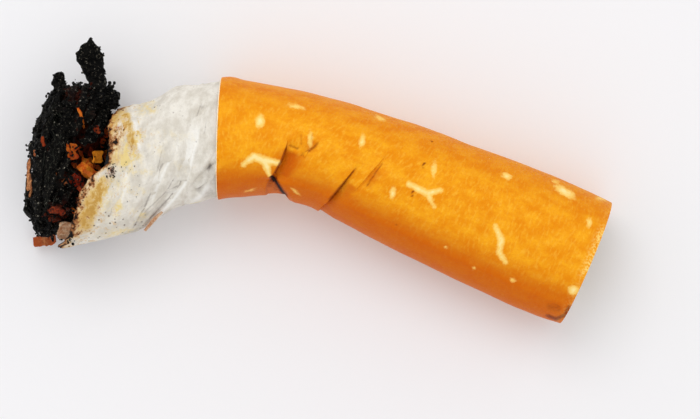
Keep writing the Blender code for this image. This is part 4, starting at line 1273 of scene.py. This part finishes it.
points, faces = laid([(62, -4, 0.24), (54, -17, 0.24), (49, -28, 0.24)], 0.3, 0.14, 40, 14, 0.6)
to_edge = np.tile(np.abs(np.cos((np.arange(14) + 0.5) * math.pi / 7)) ** 0.5, 40)
points = roughened(roughened(points, 0.5, 0.06), 0.16, 0.03)
new_piece("tan_shred_look", points, faces, [tan], ["tan_shred"], "tan_leaf", 60,
          deep=0.3 * rough(points, 0.8, 2, 9),
          charred=1.0 * to_edge**4 - 0.05 + 0.45 * rough(points, 0.6, 3, 2))
path = [(-22, -43, 0.22), (-24, -56, 0.22), (-30, -67, 0.2)]
points, faces = laid(path, 0.78, 0.14, 40, 20, 0.1, 5, cup=0.14, ragged=0.12)
points = roughened(roughened(points, 0.6, 0.06), 0.16, 0.03)
across, down = seen_at(points)
past_middle = across - np.interp(down, [218, 245], [69, 63])
new_piece("buff_shred_look", points, faces, [buff], ["buff_shred"], "tan_leaf", 60,
          deep=np.clip(0.5 * rough(points, 0.4, 3, 4), 0, 1),
          charred=0.95 * eased(past_middle / 7) - 0.2 + 0.3 * rough(points, 0.3, 2, 8))


def beside_char(rows, count):
    """Rows of (away, across, height, half width) as places beside the char, and the widths."""
    away, across, height, half = path_through(rows, count).T
    middles = CHAR_MIDDLE + away[:, None] * AWAY + across[:, None] * ACROSS
    middles[:, 2] = height
    return middles, np.broadcast_to([0.0, 0.0, 1.0], middles.shape), half


FLAKES = {
    "charred_flake_tall": [
        (-1.18, 3.75, 5.57, 0.46), (-1.02, 4.32, 4.98, 0.49), (-0.88, 5.00, 4.55, 0.48),
        (-0.68, 5.36, 4.35, 0.54), (-0.45, 5.78, 4.20, 0.66), (-0.22, 6.20, 4.15, 0.77),
        (-0.04, 6.58, 4.15, 0.81), (0.08, 6.98, 4.20, 0.72), (0.14, 7.28, 4.25, 0.46),
        (0.15, 7.54, 4.30, 0.20), (0.16, 7.72, 4.33, 0.05)],
    "charred_flake_short": [
        (1.45, 4.05, 4.78, 0.34), (1.60, 4.80, 4.35, 0.40), (1.75, 5.20, 4.25, 0.34)],
    "charred_flake_side": [
        (-1.62, 3.55, 5.21, 0.36), (-1.78, 4.10, 4.70, 0.42), (-2.02, 4.45, 4.45, 0.34),
        (-2.22, 4.62, 4.30, 0.08)],
}
for name, rows in FLAKES.items():
    points, faces = ribbon(*beside_char(rows, 16 * len(rows) // 2), 0.28, 22, ragged=0.10,
        seed=len(rows))
    points = roughened(roughened(points, 0.5, 0.06, 4), 0.17, 0.05, 9)
    on_char.append(new_piece(name + "_look", points, faces, [char], [name], "charred_leaf", 60,
                             warm=np.full(len(points), -0.3)))

rows = [(0.35, -5.00, 1.18, 0.36), (1.00, -5.25, 0.88, 0.44), (1.70, -5.50, 0.68, 0.28)]
points, faces = ribbon(*beside_char(rows, 40), 0.16, 18, ragged=0.15, cup=0.10)
points = roughened(roughened(points, 0.5, 0.06), 0.16, 0.03)
new_piece("russet_shred_look", points, faces, [tan], ["russet_shred"], "tan_leaf", 60,
          deep=np.clip(0.85 + 0.5 * rough(points, 0.5, 3, 6), 0, 1),
          charred=0.08 + 0.35 * rough(points, 0.5, 3, 3))

places = path_through([(28.8, 158, 0.15), (29.3, 163, 0.22), (29.8, 168, 0.28)], 16)
turns = np.radians(places[:, 1])
middles = shaped(places[:, 0], turns, PAPER_RADIUS + places[:, 2])
ups = unit(middles - crushed(places[:, 0], turns, 0 * turns))
half_widths = np.interp(np.linspace(0, 1, 16), [0, 0.5, 1], [0.06, 0.17, 0.10])
points, faces = ribbon(middles, ups, half_widths, 0.14, 10, 0.3)
new_piece("stem_splinter_look", roughened(points, 0.4, 0.04), faces, [buff], ["stem_splinter"],
          "tan_leaf", 60, deep=np.full(len(points), 0.0), charred=np.full(len(points), -0.1))

# %% [markdown]
# Between the strands the lump is a tangle of thinner burnt shreds, and the hollow beside the
# paper's edge is left open so that the scorched ones show. They are one piece, as one handful.

# %% The tangle of burnt shreds
# Kept open: ellipses in pixels round the amber hollow, the tan strip, the curl and the rusty leaf.
OPEN = [(88, 160, 17, 19, 0, 1), (35, 178, 6, 22, -10, 1), (63, 231, 10, 14, 20, 1),
        (78, 91, 8, 11, 0, 1), (100, 142, 6, 12, 0, 1)]
chance = np.random.default_rng(7)
parts = []
KINDS = [("over", 170, -52, 112), ("under", 70, 112, 262), ("inner", 40, -88, -40),
         ("broken", 120, -60, 112), ("broken", 60, 112, 262)]
for kind, count, start, stop in KINDS:
    for _ in range(count):
        longitude = chance.uniform(start, stop)
        latitude = chance.uniform(-66, 60)
        length = chance.uniform(12, 34) if kind != "broken" else chance.uniform(4, 10)
        length *= chance.choice([-1, 1])
        bend = chance.normal(0, 11 if kind != "broken" else 22, 2)
        path = [(longitude, latitude, chance.uniform(-0.35, 0.2)),
                (longitude + bend[0], latitude + length / 2, chance.uniform(-0.1, 0.42)),
                (longitude + bend[0] + bend[1], latitude + length, chance.uniform(-0.4, 0.3))]
        path = np.clip(path, [-400, -80, -1], [400, 80, 1])
        half = chance.uniform(0.06, 0.25)
        strip = laid(path, half, chance.uniform(0.05, 0.12), 12, 6, 0.75, len(parts),
                     ragged=0.5, cup=chance.uniform(0, 0.06))
        if soft_spots(*seen_at(strip[0]), OPEN).max() < 0.45 or abs(longitude - 20) > 100:
            parts.append(strip)
points, faces, numbers = joined(parts)
points = roughened(roughened(points, 0.6, 0.08, 2), 0.2, 0.05, 5)
tint = chance.uniform(-0.6, 0.25, len(parts))[numbers]
shreds = new_piece("burnt_shreds", points, faces, [char], [], "charred_leaf", 60,
                   warm=0.7 * soft_spots(*seen_at(points), WARM) + tint)

# %% [markdown]
# What makes char look burnt and not painted is its crumbs: lumps of ash and broken leaf, from
# dust to a fifth of a millimetre. Each is a twenty-sided ball with its corners moved. A ray from
# the camera through a pixel finds the surface that a crumb or a hair has to lie on.

# %% Crumbs, threads and small scorched bits
graph = bpy.context.evaluated_depsgraph_get()
body = [BVHTree.FromObject(piece, graph) for piece in (crust, paper, tipping)]
everything = body + [BVHTree.FromObject(piece, graph) for piece in (shreds, *on_char)]


def landed(x, y, trees=body):
    """The first surface under a pixel of the photograph: its place and the way it faces."""
    scale = LENS / 36 * PIXELS_WIDE
    way = Vector(((x - PIXELS_WIDE / 2) / scale, (PIXELS_HIGH / 2 - y) / scale, -1.0)).normalized()
    hits = [tree.ray_cast(camera.location, way) for tree in trees]
    hits = [hit for hit in hits if hit[0] is not None]
    if not hits:
        return None
    place, facing, _, _ = min(hits, key=lambda hit: hit[3])
    return np.array(place) / MM, np.array(facing)


def under_pixel(x, y, height):
    """The place at this height that the photograph shows at a pixel."""
    share = LENS / SENSOR_WIDE * PIXELS_WIDE / (CAMERA_HEIGHT - height)
    return SET_DOWN + [(x - PIXELS_WIDE / 2) / share, (PIXELS_HIGH / 2 - y) / share, height]


GOLDEN = (1 + 5**0.5) / 2
BALL = unit(np.array([
    (-1, GOLDEN, 0), (1, GOLDEN, 0), (-1, -GOLDEN, 0), (1, -GOLDEN, 0), (0, -1, GOLDEN),
    (0, 1, GOLDEN), (0, -1, -GOLDEN), (0, 1, -GOLDEN), (GOLDEN, 0, -1), (GOLDEN, 0, 1),
    (-GOLDEN, 0, -1), (-GOLDEN, 0, 1)]))
BALL_FACES = [
    (0, 11, 5), (0, 5, 1), (0, 1, 7), (0, 7, 10), (0, 10, 11), (1, 5, 9), (5, 11, 4),
    (11, 10, 2), (10, 7, 6), (7, 1, 8), (3, 9, 4), (3, 4, 2), (3, 2, 6), (3, 6, 8), (3, 8, 9),
    (4, 9, 5), (2, 4, 11), (6, 2, 10), (8, 6, 7), (9, 8, 1)]


def crumb(place, size):
    """A ball squashed differently each way, with each corner at 0.7 to 1.3 of its distance."""
    shape = BALL * chance.uniform(0.7, 1.3, (12, 1)) * chance.uniform(0.6, 1.2, 3)
    points = place + shape * size
    points[:, 2] = np.maximum(points[:, 2], 0.01)
    return points, [list(face) for face in BALL_FACES]


# How many, least and largest radius in mm, how warm, and the ellipse in pixels.
CRUMB_FIELDS = [
    (900, 0.03, 0.12, -0.2, (66, 162, 40, 86, 8)), (170, 0.04, 0.13, -0.4, (97, 129, 24, 6, 130)),
    (120, 0.03, 0.10, -0.3, (93, 62, 14, 26, 12)), (40, 0.03, 0.09, -0.3, (59, 82, 7, 10, 0)),
    (80, 0.05, 0.14, -0.4, (104, 104, 9, 14, 20)),
    (46, 0.02, 0.07, 0.1, (111, 171, 5, 9, 8)), (120, 0.05, 0.15, -0.3, (60, 140, 26, 60, 12)),
    (70, 0.05, 0.14, 0.9, (56, 214, 13, 8, 0)), (40, 0.05, 0.14, -0.2, (58, 98, 10, 12, 20)),
    (30, 0.04, 0.10, 0.7, (80, 192, 5, 14, 10)), (36, 0.04, 0.12, -0.2, (44, 228, 9, 10, 0)),
    (26, 0.02, 0.05, 0.2, (122, 176, 22, 26, 0)), (40, 0.05, 0.16, -0.2, (34, 146, 7, 10, 0)),
    (30, 0.04, 0.12, 0.3, (66, 240, 12, 5, 0)), (34, 0.04, 0.12, 0.6, (80, 90, 14, 8, 0)),
]


def on_paper(x, y):
    """Whether the photograph shows the white paper there."""
    return y > 106 and x > np.interp(y, BURN_LINE[:, 0], BURN_LINE[:, 1]) - 2


parts, tints = [], []
for count, least, most, tint, (x, y, half_x, half_y, tilt) in CRUMB_FIELDS:
    for _ in range(count):
        reach = math.sqrt(chance.uniform()) * 1.1
        around = chance.uniform(0, 2 * math.pi)
        u = reach * math.cos(around) * half_x
        v = reach * math.sin(around) * half_y
        turn = math.radians(tilt)
        at_x = x + u * math.cos(turn) - v * math.sin(turn)
        at_y = y + u * math.sin(turn) + v * math.cos(turn)
        open_place = soft_spots(at_x, at_y, OPEN) > 0.45
        hit = landed(at_x, at_y, everything)
        off_place = count > 100 and on_paper(at_x, at_y) or open_place and chance.uniform() < 0.8
        if hit is None or off_place:
            continue
        size = least + (most - least) * chance.uniform() ** 2
        parts.append(crumb(hit[0] + hit[1] * chance.uniform(0.2, 2.2) * size, size))
        tints.append(tint + chance.uniform(-0.2, 0.2))
for _ in range(420):
    longitude, latitude = chance.uniform(1.2, 5.1), chance.uniform(-1.3, 1.3)
    place, _ = on_crust(np.array(longitude), np.array(latitude), chance.uniform(-0.1, 0.3))
    parts.append(crumb(place, chance.uniform(0.04, 0.13)))
    tints.append(chance.uniform(-0.4, 0.3))
for _ in range(210):  # the crumbled leaf between the tall flake and the paper
    share = chance.uniform()
    x = 108 + 6 * share + chance.normal(0, 3.2 - 1.4 * abs(share - 0.5))
    y = 86 + 21 * share + chance.normal(0, 2.0)
    z = 4.35 + 0.9 * share + chance.normal(0, 0.16)
    parts.append(crumb(under_pixel(x, y, z), chance.uniform(0.05, 0.17)))
    tints.append(chance.uniform(-0.6, -0.3))
points, faces, numbers = joined(parts)
new_piece("char_crumbs", points, faces, [char], [], "charred_leaf", 30,
          warm=np.array(tints)[numbers])


def over(line, rise, half, thickness, rows, sides=8, trees=body, **more):
    """A strip that lies over the surface below a line of pixels."""
    hits = [hit for hit in (landed(x, y, trees) for x, y in line) if hit]
    places = np.array([hit[0] + rise * hit[1] for hit in hits])
    places[:, 2] = np.minimum(places[:, 2], places[:, 2].min() + 0.6)
    ups = unit(path_through([hit[1] for hit in hits], rows) + [0, 0, 0.5])
    narrow = 1 - 0.6 * np.linspace(-1, 1, rows) ** 4
    return ribbon(path_through(places, rows), ups, half * narrow, thickness, sides, **more)


BITS = [  # line in pixels, rise, half width, how deep the colour is, how charred
    ([(77.5, 109), (81, 118), (85, 128)], 0.50, 0.09, 0.1, 0.0),
    ([(101, 136), (101.5, 147)], 0.25, 0.17, 0.75, 0.2),
    ([(91, 146), (91, 156)], 0.20, 0.20, 0.9, 0.35),
    ([(104.5, 149), (105.5, 161)], 0.20, 0.12, 0.5, 0.2),
    ([(78, 186), (83, 193)], 0.30, 0.12, 0.9, 0.3),
    ([(76, 198), (80, 206)], 0.30, 0.13, 0.9, 0.35), ([(72, 208), (77, 215)], 0.30, 0.12, 0.6, 0.3),
    ([(76, 82), (77, 94), (75, 106)], 0.40, 0.36, 0.95, 0.52),
    ([(81, 82), (89, 84), (97, 90)], 0.35, 0.22, 0.9, 0.5),
    ([(43.5, 137), (45, 146)], 0.50, 0.12, 0.9, 0.25),
    ([(95, 126), (99, 134)], 0.10, 0.18, 0.9, 0.45),
    ([(104, 126), (106, 136)], 0.15, 0.18, 0.8, 0.35),
    ([(93, 166), (100, 170)], 0.15, 0.14, 0.6, 0.35),
    ([(50, 211), (58, 209), (63, 213)], 0.40, 0.22, 0.9, 0.45),
    ([(49, 218), (57, 219)], 0.35, 0.18, 0.9, 0.48),
    ([(81, 157), (86, 164), (90, 171)], 0.30, 0.20, 0.25, 0.05),
    ([(88, 158), (93, 166)], 0.26, 0.14, 0.45, 0.12),
    ([(84, 170), (92, 176), (97, 181)], 0.32, 0.16, 0.5, 0.12),
    ([(79, 146), (82, 156)], 0.28, 0.13, 0.8, 0.25),
    ([(96, 172), (101, 176)], 0.22, 0.13, 0.1, 0.0),
    ([(70, 163), (76, 168)], 0.35, 0.14, 0.8, 0.35),
]
parts, deep, charred = [], [], []
for line, rise, half, *look in BITS:
    if sum(landed(x, y) is not None for x, y in line) < 2:
        print("no surface under", line)
        continue
    parts.append(over(line, 0.25 * rise, half, 0.12, 16, 12, trees=everything, ragged=0.3,
                      cup=0.04, seed=len(parts)))
    deep.append(look[0])
    charred.append(look[1])
points, faces, numbers = joined(parts)
points = roughened(roughened(points, 0.4, 0.05), 0.14, 0.02)
new_piece("scorched_bits", points, faces, [amber], [], "amber_leaf", 60,
          deep=np.array(deep)[numbers], charred=np.array(charred)[numbers])
parts = [over([(61, 171), (64, 177), (67, 182)], 0.50, 0.22, 0.16, 14, 8, ragged=0.3),
         over([(37, 151), (38.5, 157)], 0.5, 0.12, 0.1, 8, 8, ragged=0.3)]
points, faces, numbers = joined(parts)
new_piece("dull_bits", roughened(points, 0.3, 0.05), faces, [tan], [], "tan_leaf", 60,
          deep=np.full(len(points), 0.6), charred=np.full(len(points), 0.3))

parts = []
for _ in range(34):
    x, y = chance.uniform(44, 76), chance.uniform(100, 214)
    line = [(x, y), (x + chance.normal(0, 3), y + 6),
        (x + chance.normal(0, 5), y + chance.uniform(10, 20))]
    if all(landed(*stop, everything) for stop in line):
        parts.append(over(line, 0.04, 0.012, 0.02, 9, 4, trees=everything, ragged=0.0))
points, faces, numbers = joined(parts)
new_piece("ash_threads", roughened(points, 0.3, 0.04), faces, [char], [], "charred_leaf", 60,
          warm=np.full(len(points), -0.3), pale=np.full(len(points), 1.0))

# Short broken needles of leaf, all ways round, where the char is roughest.
parts = []
for _ in range(230):
    x, y = chance.uniform(30, 112), chance.uniform(80, 240)
    hit = landed(x, y, everything)
    if hit is None or on_paper(x, y) or soft_spots(x, y, OPEN) > 0.45:
        continue
    way = unit(np.cross(hit[1], chance.normal(size=3)) + chance.uniform(0.0, 0.7) * hit[1])
    middles = hit[0] + np.linspace(-0.5, 0.5, 4)[:, None] * way * chance.uniform(0.2, 0.55)
    ups = np.broadcast_to(hit[1], middles.shape)
    half = chance.uniform(0.03, 0.08)
    parts.append(ribbon(middles, ups, np.array([0.3, 1, 1, 0.3]) * half, half, 4, ragged=0.3))
points, faces, numbers = joined(parts)
new_piece("broken_needles", points, faces, [char], [], "charred_leaf", 60,
          warm=chance.uniform(-0.5, 0.3, len(parts))[numbers])

parts = [over([(184, 206), (190, 203.5), (196, 202), (201, 200.5)], 0.03, 0.018, 0.03, 16, 5),
         over([(131, 226), (134, 222), (139, 220)], 0.02, 0.015, 0.02, 10, 5)]
points, faces, numbers = joined(parts)
new_piece("paper_hairs", points, faces, [wrap_paper], [], "white_paper", 60)
